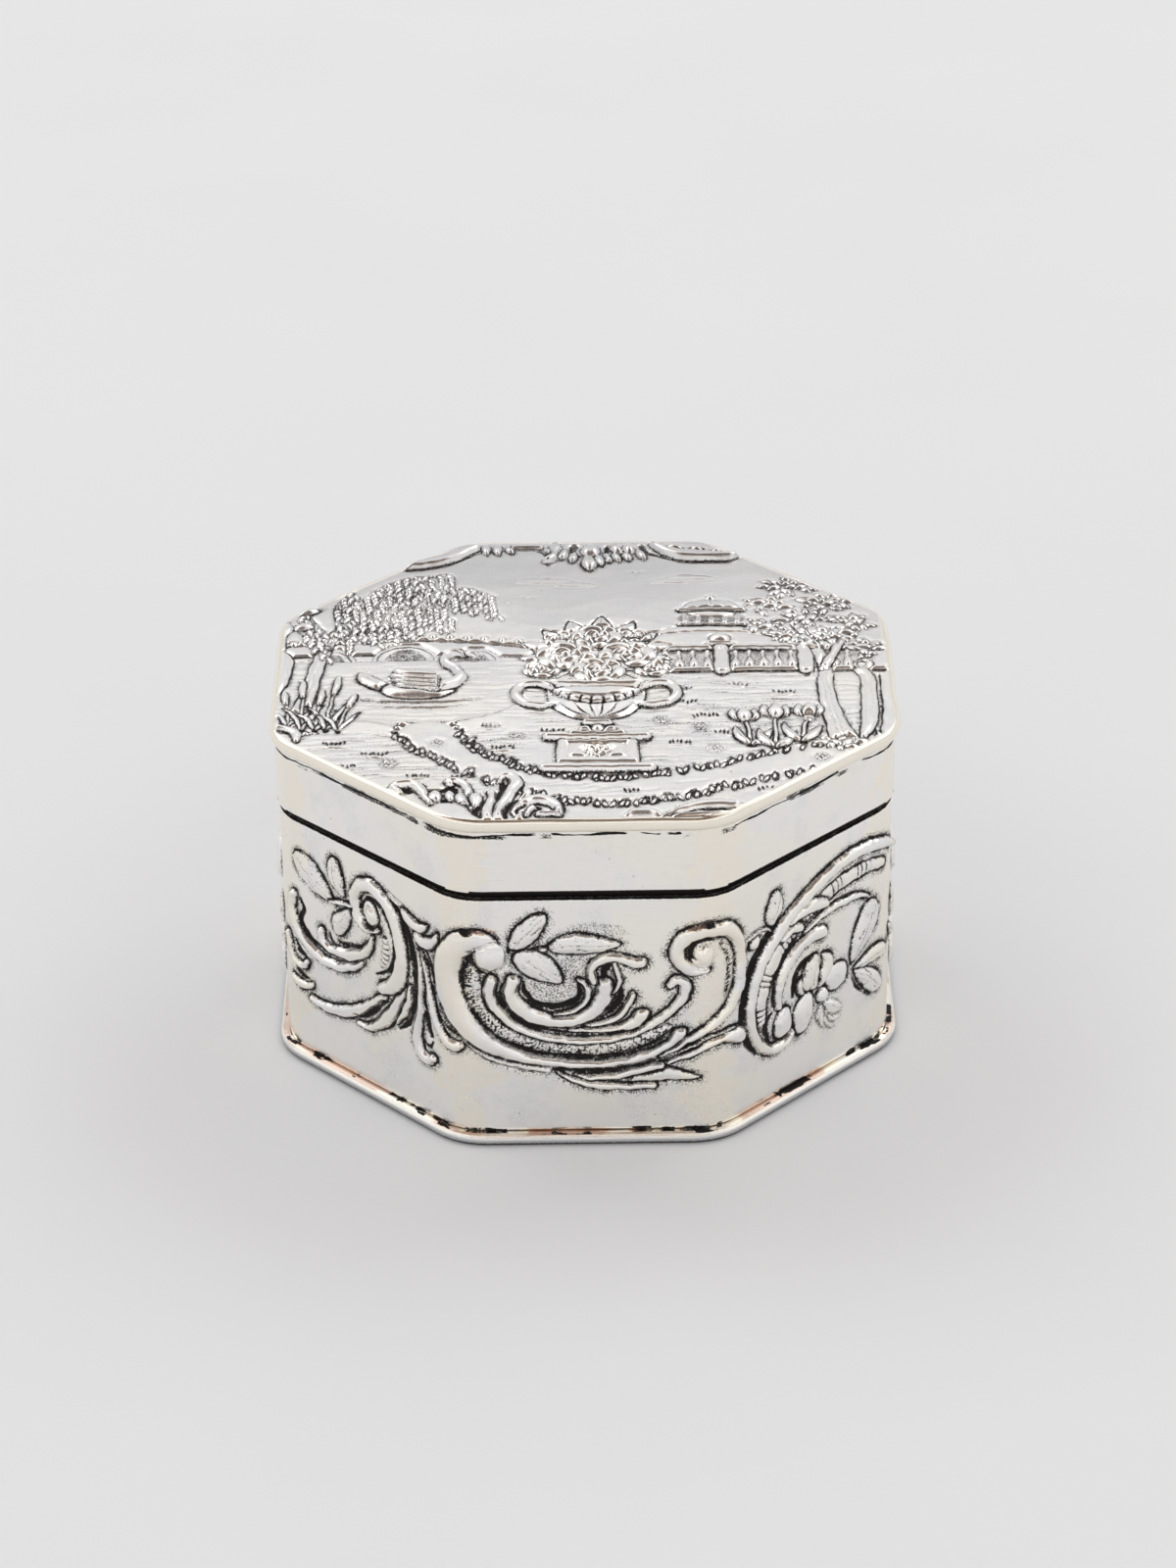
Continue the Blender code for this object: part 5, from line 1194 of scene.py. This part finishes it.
# Undulations of the plate, of the drawn lines along X and Y, and of the lip's dark line
LID_UNEVEN = ((0.03, 21, 11.0), (0.008, 22, 3.0))
HAND_X, HAND_Y = ((0.05, 45, 1.4),), ((0.05, 46, 1.4),)
LINE_BREAKS = ((1.5, 24, 4.0), (0.4, 25, 1.1))
TOP_UV, UNDER_UV = (0.01, 0.66, 66), (0.70, 0.28, 54)  # low corner and side in the UV map, and its mm


def corner_radius(apothem):
    """The corner radius of an octagon that lies evenly in or out from the wall's."""
    return CORNER_RADIUS + apothem - WALL_APOTHEM


def ring_outline(count, apothem, radius=None):
    """count places on each side of a rounded octagon, counter-clockwise, and their normals."""
    radius = corner_radius(apothem) if radius is None else radius
    half = apothem * math.tan(math.pi / 8)
    s = np.linspace(-half, half, count, endpoint=False)
    along, out, normal_s, normal_out = on_octagon(s, apothem, radius)
    points, normals = [], []
    for face in range(8):
        c, d = math.cos(face * math.pi / 4), math.sin(face * math.pi / 4)
        points.append(np.stack([along * c + out * d, along * d - out * c], axis=1))
        normals.append(np.stack([normal_s * c + normal_out * d, normal_s * d - normal_out * c], axis=1))
    return np.concatenate(points), np.concatenate(normals)


def disc_places(rings, apothem):
    """Places of nested octagons, the middle first, each ring with as many places per side as its number."""
    places = [np.zeros((1, 2))]
    for ring in range(1, rings + 1):
        share = ring / rings
        places.append(ring_outline(ring, apothem * share, corner_radius(apothem) * share)[0])
    return np.concatenate(places)


def ring_start(ring):
    """The number of the first place of one of the nested octagons."""
    return 1 + 4 * ring * (ring - 1)


def disc_faces(rings):
    """Quads of the nested octagons, counter-clockwise seen from above."""
    faces = []
    for ring in range(1, rings + 1):
        base, count = ring_start(ring), 8 * ring
        inner_base, inner_count = ring_start(ring - 1), 8 * (ring - 1)
        for side in range(4):
            step = np.arange(1, 2 * ring - 1)
            out_a = base + (side * 2 * ring + step) % count
            out_b = base + (side * 2 * ring + step + 1) % count
            corner_in = 0
            if ring > 1:
                in_b = inner_base + (side * 2 * (ring - 1) + step) % inner_count
                in_a = inner_base + (side * 2 * (ring - 1) + step - 1) % inner_count
                faces.append(np.stack([out_a, out_b, in_b, in_a], axis=1))
                corner_in = inner_base + (side + 1) * 2 * (ring - 1) % inner_count
            corner = (side + 1) * 2 * ring
            around = [base + (corner + shift) % count for shift in (-1, 0, 1)]
            faces.append(np.array([[*around, corner_in]]))
    return np.concatenate(faces)


def lip_levels(rim, normal, wavy):
    """Rows of places from the flat's edge out and down round the lip, then in and up to the underside."""
    radius = (LID_TOP - LIP_LOW) / 2
    levels = []
    for step in range(1, LIP_STEPS + 1):
        angle = math.pi * step / LIP_STEPS
        swell = LIP_ROLL if 2 * step <= LIP_STEPS else LIP_BULGE
        out = LIP_ROLL - swell * (1 - math.sin(angle)) + wavy * math.sin(angle)
        z = LID_TOP - radius + radius * math.cos(angle) + wavy * (1 + math.cos(angle)) * math.sin(angle)
        levels.append(np.column_stack([rim + normal * out[:, None], z]))
    inner_edge, _ = ring_outline(RINGS, LIP_IN)
    return levels + [np.column_stack([inner_edge, np.full(len(rim), z)]) for z in (LIP_LOW, LID_UNDER)]


def make_lid_plate():
    """The stamped plate with its rolled lip and its pressed underside, leaned as the lid rests."""
    x, y = disc_places(RINGS, FLAT_OUT).T
    place = np.column_stack([x, y, np.zeros_like(x)])
    drawn_x, drawn_y = dents(place, HAND_X, x), dents(place, HAND_Y, y)
    height = LID.sample(LID_SHARE * blur(LID.height, 1), drawn_x, drawn_y)
    fresh = 1.02 - 0.003 * (y + FLAT_OUT) + 0.10 * waves3(place, 26, 6.0)
    dark = LID.sample(LID.dark, drawn_x, drawn_y) * np.clip(fresh, 0, 1)
    edge_in = FLAT_OUT - octagon_reach(x, y)
    level = LID_TOP + height * np.clip(edge_in / 0.25, 0, 1)
    top = np.column_stack([x, y, level + dents(place, LID_UNEVEN) * np.clip(edge_in / 1.2, 0, 1)])

    count = 8 * RINGS
    rim, normal = ring_outline(RINGS, FLAT_OUT)
    rim3 = np.column_stack([rim, np.full(count, 3.0)])
    levels = lip_levels(rim, normal, LIP_WAVE * waves3(rim3, 23, 5.0))

    low_rings = RINGS // COARSE
    under = disc_places(low_rings, LIP_IN - UNDER_IN)
    pressed = BACK_SHARE * LID.sample(blur(LID.height, 5), under[:, 0], under[:, 1])
    pressed = pressed * np.clip((PRESSED_OUT - octagon_reach(under[:, 0], under[:, 1])) / 0.8, 0, 1)
    under = np.column_stack([under, LID_UNDER + pressed])

    lip = np.concatenate(levels)
    places = np.concatenate([top, lip, under])
    under_base = len(top) + len(lip)
    rows = [ring_start(RINGS) + np.arange(count)]
    rows += [len(top) + level * count + np.arange(count) for level in range(len(levels))]

    faces = [disc_faces(RINGS)]
    uvs = [planar_uv(top[faces[0]], TOP_UV)]
    here, there = rim, rim[(np.arange(count) + 1) % count]
    for level in range(len(levels)):
        faces.append(strip_faces(rows[level + 1], rows[level]))
        low, high = 1 + 0.02 * (level + 1), 1 + 0.02 * level
        uvs.append(planar_uv(np.stack([here * low, there * low, there * high, here * high], axis=1), TOP_UV))
    low_faces = disc_faces(low_rings)
    faces.append((under_base + low_faces)[:, ::-1])
    uvs.append(planar_uv(under[low_faces], UNDER_UV)[:, ::-1])
    under_rim = under_base + ring_start(low_rings) + np.arange(8 * low_rings)
    rims = stitch(rows[-1], under_rim, closed=True, flip=True)
    face_sets = [np.concatenate(faces), rims]
    uv_sets = [np.concatenate(uvs), planar_uv(places[rims], UNDER_UV)]

    turned = np.zeros((len(levels), count))
    turned[LIP_STEPS - LIP_LINE:LIP_STEPS + 1] = np.clip(dents(rim3, LINE_BREAKS) + 0.1, 0, 1)
    on_flat = np.clip(edge_in / EDGE_SOFT, 0, 1)
    tone = np.concatenate([dark * on_flat, turned.ravel(), np.full(len(under), 0.15)])
    # painted shade: the flat turns grey towards the back of the lid
    painted_far_shade = -0.30 * np.clip((y + 6 + 3 * waves3(place, 27, 14.0)) / 26, 0, 1) * on_flat
    near_lip = np.clip(1 - edge_in / EDGE_SOFT, 0, 1) * 0.4
    cream = np.concatenate([painted_far_shade + near_lip, np.full(len(lip), 0.45), np.zeros(len(under))])
    marks = {"tarnish": tone, "warmth": cream}
    return mesh_from("lid_plate_of_silver", tilt(places), face_sets, uv_sets, marks)


def planar_uv(places, square):
    """A view from above, laid into a square of the UV map."""
    low, side, span = square
    return low + side * (places[..., :2] / span + 0.5)


def octagon_reach(x, y):
    """The apothem of the octagon that a place lies on."""
    slant = math.sqrt(0.5)
    return np.maximum.reduce([np.abs(x), np.abs(y), np.abs(x + y) * slant, np.abs(x - y) * slant])


def tilt(places):
    """Turns places of the shut lid about the hinge to where the lid rests."""
    c, s = math.cos(-AJAR), math.sin(-AJAR)
    y = places[:, 1] - AXIS_Y
    z = places[:, 2] - AXIS_Z
    return np.column_stack([places[:, 0], AXIS_Y + y * c - z * s, AXIS_Z + y * s + z * c])


def waves3(points, seed, size, count=10):
    """A smooth undulation between about -1 and 1 that doesn't repeat, of waves about size mm long."""
    source = np.random.RandomState(seed)
    total = np.zeros(points.shape[:-1])
    for _ in range(count):
        way = source.normal(size=3)
        way /= np.linalg.norm(way)
        length = size * source.uniform(0.7, 1.5)
        total += np.sin(2 * math.pi * (points @ way) / length + source.uniform(0, 2 * math.pi))
    return total / math.sqrt(count * 0.5) / 1.6


def dents(points, kinds, start=0):
    """A value with undulations added, each given by how deep it is, its seed and its length."""
    return sum((deep * waves3(points, seed, length) for deep, seed, length in kinds), start)


def patchy(points, middle, swing, seed, length, low=0, high=1):
    """A value that undulates round its middle, between two bounds."""
    return np.clip(middle + swing * waves3(points, seed, length), low, high)


# Materials
class Finish:
    """A material's nodes, wired by short calls."""

    def __init__(self, name):
        self.material = bpy.data.materials.new(name)
        self.material.use_nodes = True
        self.tree = self.material.node_tree
        self.shader = self.tree.nodes["Principled BSDF"]
        self.place = self.node("ShaderNodeTexCoord").outputs["Object"]

    def node(self, kind, **values):
        made = self.tree.nodes.new(kind)
        for key, value in values.items():
            setattr(made, key, value)
        return made

    def link(self, source, target):
        self.tree.links.new(source, target)

    def mapped(self, scale, turn=(0, 0, 0)):
        """The place on the object, turned and scaled."""
        made = self.node("ShaderNodeMapping")
        made.inputs["Scale"].default_value = scale
        made.inputs["Rotation"].default_value = turn
        self.link(self.place, made.inputs["Vector"])
        return made.outputs["Vector"]

    def noise(self, per_mm, detail=3.0, rough=0.55, turn=(0, 0, 0), stretch=(1, 1, 1)):
        """Noise of so many waves to the mm."""
        made = self.node("ShaderNodeTexNoise")
        for key, value in (("Scale", 1.0), ("Detail", detail), ("Roughness", rough)):
            made.inputs[key].default_value = value
        self.link(self.mapped([1000 * per_mm * each for each in stretch], turn), made.inputs["Vector"])
        return made.outputs["Fac"]

    def wander(self, low, high, *noise, **noise_values):
        """A noise that drifts between two values."""
        return self.spread(self.noise(*noise, **noise_values), 0.3, 0.7, low, high)

    def spread(self, value, low, high, to_low=0.0, to_high=1.0):
        """Moves a value softly from one range to another, and holds it at its ends."""
        made = self.node("ShaderNodeMapRange", interpolation_type="SMOOTHSTEP")
        self.link(value, made.inputs["Value"])
        for key, number in (("From Min", low), ("From Max", high), ("To Min", to_low), ("To Max", to_high)):
            made.inputs[key].default_value = number
        return made.outputs["Result"]

    def maths(self, operation, a, b):
        made = self.node("ShaderNodeMath", operation=operation)
        for socket, value in zip(made.inputs, (a, b)):
            if isinstance(value, (int, float)):
                socket.default_value = value
            else:
                self.link(value, socket)
        return made.outputs["Value"]

    def plus(self, a, b):
        return self.maths("ADD", a, b)

    def times(self, a, b):
        return self.maths("MULTIPLY", a, b)

    def most(self, a, b):
        return self.maths("MAXIMUM", a, b)

    def mix(self, share, a, b):
        made = self.node("ShaderNodeMix", data_type="RGBA")
        for socket, value in ((made.inputs[0], share), (made.inputs[6], a), (made.inputs[7], b)):
            if isinstance(value, tuple):
                socket.default_value = (*value, 1.0)
            elif isinstance(value, (int, float)):
                socket.default_value = value
            else:
                self.link(value, socket)
        return made.outputs[2]

    def mark(self, name):
        """A value painted on the mesh."""
        return self.node("ShaderNodeAttribute", attribute_name=name).outputs["Fac"]

    def axes(self, lean=0.0):
        """Places in mm, along axes leaned about X."""
        parts = self.node("ShaderNodeSeparateXYZ")
        self.link(self.mapped((1 / MM, 1 / MM, 1 / MM), (lean, 0, 0)), parts.inputs[0])
        return parts.outputs

    def height(self, lean=0.0):
        return self.axes(lean)["Z"]

    def reach(self):
        """The apothem in mm of the octagon that a place lies on."""
        axes = self.axes()
        x, y = (self.maths("ABSOLUTE", axes[axis], 0.0) for axis in "XY")
        slant = self.times(self.plus(x, y), math.sqrt(0.5))
        return self.most(self.most(x, y), slant)

    def corner(self):
        """1 in the middle of a side of the octagon, 1.08 at its corners."""
        axes = self.axes()
        x, y = (self.times(axes[axis], axes[axis]) for axis in "XY")
        return self.maths("DIVIDE", self.maths("SQRT", self.plus(x, y), 0.0), self.reach())

    def line(self, height, place, half, wander, whole, size=0.2):
        """1 on a broken line that wanders round the box at a height in mm. whole is the share not broken."""
        drift = self.wander(place - wander, place + wander, size)
        off = self.maths("ABSOLUTE", self.maths("SUBTRACT", height, drift), 0.0)
        width = self.spread(self.noise(2.2 * size, detail=4.0), 0.35, 0.65, 0.35, 1.0)
        core = self.spread(self.maths("DIVIDE", off, width), half, 0.45 * half)
        low = 0.62 - 0.3 * whole
        gaps = self.spread(self.noise(1.3 * size, turn=(0.4, 0.9, 0.2)), low - 0.04, low + 0.06)
        return self.times(core, gaps)

    def bump(self, height, distance_mm, below=None):
        """A bumpy normal, over another one where it is given."""
        made = self.node("ShaderNodeBump")
        made.inputs["Strength"].default_value = 1.0
        made.inputs["Distance"].default_value = distance_mm * MM
        self.link(height, made.inputs["Height"])
        if below:
            self.link(below, made.inputs["Normal"])
        return made.outputs["Normal"]


CLEAN = (0.93, 0.912, 0.885)
WARM = (0.96, 0.902, 0.79)
COOL = (0.82, 0.82, 0.84)
# painted shade: the grey that a negative warmth mixes in
SHADE_GREY = (0.55, 0.545, 0.56)
COPPER = (0.72, 0.55, 0.47)
OXIDE = (0.018, 0.016, 0.015)


def silver(name, rough=0.2, tarnish=None, warmth=None, cream=0.35, corners=0.0):
    """Worn silver: a cloudy tint, hairlines, specks, and stippled black where tarnish is given: oxide, and on
    some parts painted shade.

    warmth tints from cream at 0.5 to copper at 1, and to a grey of painted shade at -0.5. corners is how
    strongly the corners take a painted cream reflection."""
    f = Finish(name)
    clouds = f.spread(f.noise(0.10, detail=2.0), 0.505, 0.545)
    colour = f.mix(f.times(clouds, cream), CLEAN, WARM)
    dull = f.spread(f.noise(0.22, detail=5.0, rough=0.6), 0.48, 0.62)
    colour = f.mix(f.times(dull, 0.5), colour, COOL)
    # painted reflection: the rounded corners of the octagon get a cream tint
    if corners:
        rag = f.wander(-0.022, 0.022, 0.3, detail=2.0, turn=(0.7, 0.1, 0.4))
        painted_corner_reflection = f.spread(f.plus(f.corner(), rag), 1.052, 1.062)
        colour = f.mix(f.times(painted_corner_reflection, corners), colour, WARM)
    if warmth:
        amount = warmth(f)
        colour = f.mix(f.spread(amount, 0.0, -0.5), colour, SHADE_GREY)
        colour = f.mix(f.spread(amount, 0.0, 0.5), colour, WARM)
        colour = f.mix(f.spread(amount, 0.5, 1.0), colour, COPPER)
    hair = f.noise(1.0, detail=4.0, rough=0.6, turn=(0.2, 0.3, 0.5), stretch=(0.25, 14.0, 14.0))
    cross = f.noise(1.0, detail=4.0, rough=0.6, turn=(0.1, -0.4, -0.7), stretch=(12.0, 0.3, 12.0))
    scratches = f.plus(hair, cross)
    colour = f.mix(f.spread(scratches, 1.12, 1.36, 0.0, 0.5), colour, (0.45, 0.44, 0.43))
    specks = f.spread(f.noise(1.5, detail=4.0, rough=0.7), 0.69, 0.75, 0.0, 0.6)
    black = specks
    if tarnish:
        grain = f.noise(8.5, detail=2.0, rough=0.6)
        ragged = f.plus(tarnish(f), f.spread(grain, 0.25, 0.75, -0.22, 0.22))
        black = f.most(specks, f.spread(ragged, 0.30, 0.66))
    colour = f.mix(black, colour, OXIDE)
    f.link(colour, f.shader.inputs["Base Color"])
    f.link(f.maths("SUBTRACT", 1.0, f.times(black, 0.95)), f.shader.inputs["Metallic"])
    f.link(f.maths("SUBTRACT", 0.5, f.times(black, 0.42)), f.shader.inputs["Specular IOR Level"])
    fine = f.wander(rough - 0.04, rough + 0.04, 5.0)
    roughness = f.plus(fine, f.times(dull, 0.06))
    roughness = f.plus(roughness, f.times(black, 0.3))
    if warmth:
        polish = f.spread(amount, 0.0, 0.3, 0.0, 0.08)
        roughness = f.maths("SUBTRACT", roughness, polish)
    f.link(roughness, f.shader.inputs["Roughness"])
    normal = f.bump(scratches, 0.005)
    normal = f.bump(f.noise(0.5), 0.03, below=normal)
    f.link(normal, f.shader.inputs["Normal"])
    return f.material


SOLDER_DROP, SMUDGE_DROP = 0.36, 0.50  # below the lip's lower edge
SKIRT_LIFT = 0.052  # the skirt's lower edge above the hinge's axis, at the front


def skirt_solder_and_painted_shade(f):
    """The solder line under the lip, and painted shade: black on the skirt's lower edge, where the seam lies
    in shade.
    """
    lean = AXIS_Y * math.sin(AJAR)
    height = f.height(AJAR)
    fine = f.line(height, LIP_LOW + lean - SOLDER_DROP, half=0.19, wander=0.12, whole=0.75)
    smudge = f.line(height, LIP_LOW + lean - SMUDGE_DROP, half=0.50, wander=0.10, whole=0.42, size=0.13)
    solder = f.most(fine, f.times(smudge, 0.62))
    foot = AXIS_Z + SKIRT_LIFT + lean
    outside = f.spread(f.reach(), WALL_APOTHEM, WALL_APOTHEM + 0.08)
    # painted shade along the skirt's lower edge, over the shaded seam
    edge = f.times(f.spread(height, foot + 0.17, foot + 0.10), outside)
    return f.most(solder, edge)


def plate_joint_and_painted_shadow(f):
    """Black along the joint of base plate and wall, and a painted contact shadow: a dark line where the plate
    meets the table.
    """
    height = f.height()
    outside = f.spread(f.reach(), WALL_APOTHEM - 0.3, WALL_APOTHEM)
    joint = f.line(height, PLATE_TOP - 0.01, half=0.08, wander=0.02, whole=0.22, size=0.3)
    # the second term is the painted contact shadow low on the plate
    return f.most(f.times(outside, joint), f.spread(height, 0.42, 0.20))


def plate_tint_and_painted_shade(f):
    """Cream above, painted shade in grey towards the table, and coppery in places by the joint."""
    outside = f.spread(f.reach(), WALL_APOTHEM - 0.3, WALL_APOTHEM)
    joint = f.times(outside, f.spread(f.height(), 0.86, 0.95))
    place = f.spread(f.noise(0.12, detail=2.0, turn=(0.3, 0.2, 1.9)), 0.44, 0.52)
    # painted shade: grey low on the plate towards the table, cream above
    foot_shade_and_cream = f.spread(f.height(), 0.48, 0.85, -0.5, 0.25)
    return f.plus(foot_shade_and_cream, f.times(f.times(joint, place), 0.7))


def bezel_painted_seam_shade(f):
    """Painted shade: black low on the bezel's outside, where the seam between lid and wall lies in shade."""
    rag = f.wander(-0.2, 0.2, 0.8, detail=4.0)
    low = f.spread(f.plus(f.height(), rag), WALL_SEAM + 1.2, WALL_SEAM + 0.6)
    return f.times(low, f.spread(f.reach(), BEZEL_OUT - 0.46, BEZEL_OUT - 0.34))


def hinge_tarnish(f):
    """Cloudy black, as grime leaves on worn tubes."""
    return f.spread(f.noise(0.9, detail=4.0, rough=0.65), 0.52, 0.72, 0.0, 0.7)


def painted_warmth(f):
    """The tint painted on the mesh, which on the lid also holds painted shade towards its back."""
    return f.mark("warmth")


def relief_tarnish_and_painted_shade(f):
    """The tarnish and painted shade painted on the mesh, worn away here and there."""
    worn = f.spread(f.noise(0.9, detail=4.0, rough=0.6), 0.30, 0.56, 0.72, 1.0)
    return f.times(f.mark("tarnish"), worn)


def dress(name, material):
    """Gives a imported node's own object this material."""
    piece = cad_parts[name]
    for slot in piece.material_slots:
        slot.material = material
    if not piece.material_slots:
        piece.data.materials.append(material)


# Stage
CAMERA_ELEVATION, CAMERA_YAW, CAMERA_ROLL = 28.99, -0.07, -0.685  # degrees
CAMERA_DISTANCE = 399.6  # mm, from the target
CAMERA_TARGET = (0.22, 0.0, 19.13)
LENS = 109.8

LAMP_AIM = (0, 0, 0.015)
FLOOR_HALF = 2.5
FLOOR_LOW, FLOOR_HIGH = (0.922, 0.940, 0.954), (0.936, 0.954, 0.968)
SKY = (  # sine of the height above the horizon, and the colour there
    (-1.0, (0.86, 0.86, 0.87)),
    (0.0, (0.86, 0.86, 0.87)),
    (0.25, (0.78, 0.78, 0.785)),
    (0.42, (0.68, 0.68, 0.69)),
    (0.50, (0.99, 0.985, 0.985)),
    (0.79, (0.97, 0.965, 0.965)),
    (0.885, (0.42, 0.31, 0.24)),
    (0.94, (0.12, 0.085, 0.07)),
    (0.985, (0.12, 0.095, 0.085)),
    (1.0, (0.42, 0.405, 0.40)),
)


def make_stage():
    """The pale table top."""
    mesh = bpy.data.meshes.new("studio_floor")
    corners = [(x * FLOOR_HALF, y * FLOOR_HALF, 0) for x, y in ((-1, -1), (1, -1), (1, 1), (-1, 1))]
    mesh.from_pydata(corners, [], [(0, 1, 2, 3)])
    floor = bpy.data.objects.new("studio_floor", mesh)
    bpy.context.scene.collection.objects.link(floor)
    f = Finish("pale_paper")
    tone = f.wander(0, 1, 0.02)
    f.link(f.mix(tone, FLOOR_LOW, FLOOR_HIGH), f.shader.inputs["Base Color"])
    f.shader.inputs["Roughness"].default_value = 0.75
    f.shader.inputs["Specular IOR Level"].default_value = 0.2
    mesh.materials.append(f.material)


def make_world():
    """A sky that runs through the colours of SKY, from straight down to straight up."""
    world = bpy.data.worlds.new("studio")
    bpy.context.scene.world = world
    world.use_nodes = True
    nodes, links = world.node_tree.nodes, world.node_tree.links
    background = nodes["Background"]
    ways = nodes.new("ShaderNodeTexCoord").outputs["Generated"]
    parts = nodes.new("ShaderNodeSeparateXYZ")
    links.new(ways, parts.inputs[0])
    share = nodes.new("ShaderNodeMapRange")
    links.new(parts.outputs["Z"], share.inputs["Value"])
    share.inputs["From Min"].default_value = -1.0
    ramp = nodes.new("ShaderNodeValToRGB")
    links.new(share.outputs["Result"], ramp.inputs["Fac"])
    stops = ramp.color_ramp.elements
    stops[0].position, stops[0].color = 0.0, (*SKY[0][1], 1)
    stops[1].position, stops[1].color = 1.0, (*SKY[-1][1], 1)
    for height, colour in SKY[1:-1]:
        stop = stops.new((height + 1) / 2)
        stop.color = (*colour, 1)
    links.new(ramp.outputs["Color"], background.inputs["Color"])
    background.inputs["Strength"].default_value = 1.0


def softbox(name, place, side, watts):
    """A square lamp that is aimed at the box."""
    lamp = bpy.data.lights.new(name, "AREA")
    lamp.shape = "SQUARE"
    lamp.size = side
    lamp.energy = watts
    made = bpy.data.objects.new(name, lamp)
    bpy.context.scene.collection.objects.link(made)
    made.location = place
    aim = Vector(LAMP_AIM) - Vector(place)
    made.rotation_euler = aim.to_track_quat("-Z", "Y").to_euler()


def make_camera():
    """The photo's view: the target and the distance give the place, seen from the front and above."""
    data = bpy.data.cameras.new("photo_view")
    data.lens = LENS
    data.sensor_width = 36.0
    data.sensor_fit = "AUTO"
    data.clip_start = 0.01
    eye = bpy.data.objects.new("photo_view", data)
    bpy.context.scene.collection.objects.link(eye)
    elevation, yaw, roll = (math.radians(each) for each in (CAMERA_ELEVATION, CAMERA_YAW, CAMERA_ROLL))
    target = Vector(CAMERA_TARGET) * MM
    back = Vector((0, -math.cos(elevation), math.sin(elevation)))
    place = target + back * (CAMERA_DISTANCE * MM)
    spin = Matrix.Rotation(yaw, 3, "Z")
    look = spin @ (-back).to_track_quat("-Z", "Y").to_matrix() @ Matrix.Rotation(roll, 3, "Z")
    eye.matrix_world = Matrix.Translation(spin @ place) @ look.to_4x4()
    bpy.context.scene.camera = eye


STRIP_HALF = 34.0
STRIP = Relief(-STRIP_HALF, STRIP_HALF, 0.5, 23.5)
left_scrolls(STRIP)
right_scrolls(STRIP)
front_scrolls(STRIP)
SIDE = Relief(-12, 12, 0.5, 23.5)
side_scrolls(SIDE)
LID = Relief(-26.5, 26.5, -26.5, 26.5, line_scale=0.62)
lid_picture(LID)

# These finishes also carry painted light: cream reflections on corners, and painted shade in the seam, on
# leaves, at the lid's back and the plate's foot
wall_silver_and_painted_light = silver("wall_silver_with_painted_light", tarnish=relief_tarnish_and_painted_shade, warmth=painted_warmth, corners=0.7)
lid_silver_and_painted_shade = silver("lid_silver_with_painted_shade", tarnish=relief_tarnish_and_painted_shade, warmth=painted_warmth, cream=0.2)
skirt_silver_and_painted_light = silver("skirt_silver_with_painted_light", tarnish=skirt_solder_and_painted_shade, corners=0.7)
plate_silver_and_painted_shade = silver("plate_silver_with_painted_shade", rough=0.24, tarnish=plate_joint_and_painted_shadow, warmth=plate_tint_and_painted_shade)
bezel_silver_and_painted_shade = silver("bezel_silver_with_painted_shade", rough=0.3, tarnish=bezel_painted_seam_shade)
hinge_finish = silver("hinge_silver_finish", tarnish=hinge_tarnish)

wall = make_wall()
wall.data.materials.append(wall_silver_and_painted_light)
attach(wall, "box_base")
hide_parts("base_wall")

plate = make_lid_plate()
plate.data.materials.append(lid_silver_and_painted_shade)
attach(plate, "lid")
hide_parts("lid_top_plate")

dress("base_plate", plate_silver_and_painted_shade)
dress("lid_skirt", skirt_silver_and_painted_light)
dress("closing_bezel", bezel_silver_and_painted_shade)
for name in ("base_knuckle_left", "base_knuckle_centre", "base_knuckle_right", "lid_knuckle_left",
             "lid_knuckle_right", "hinge_pin"):
    dress(name, hinge_finish)

make_stage()
make_world()
softbox("softbox_left", (-0.80, 0.80, 1.20), 0.88, 2.5)
softbox("softbox_right", (0.80, 0.85, 1.16), 0.88, 2.4)
make_camera()

bpy.context.scene.view_settings.view_transform = "Standard"
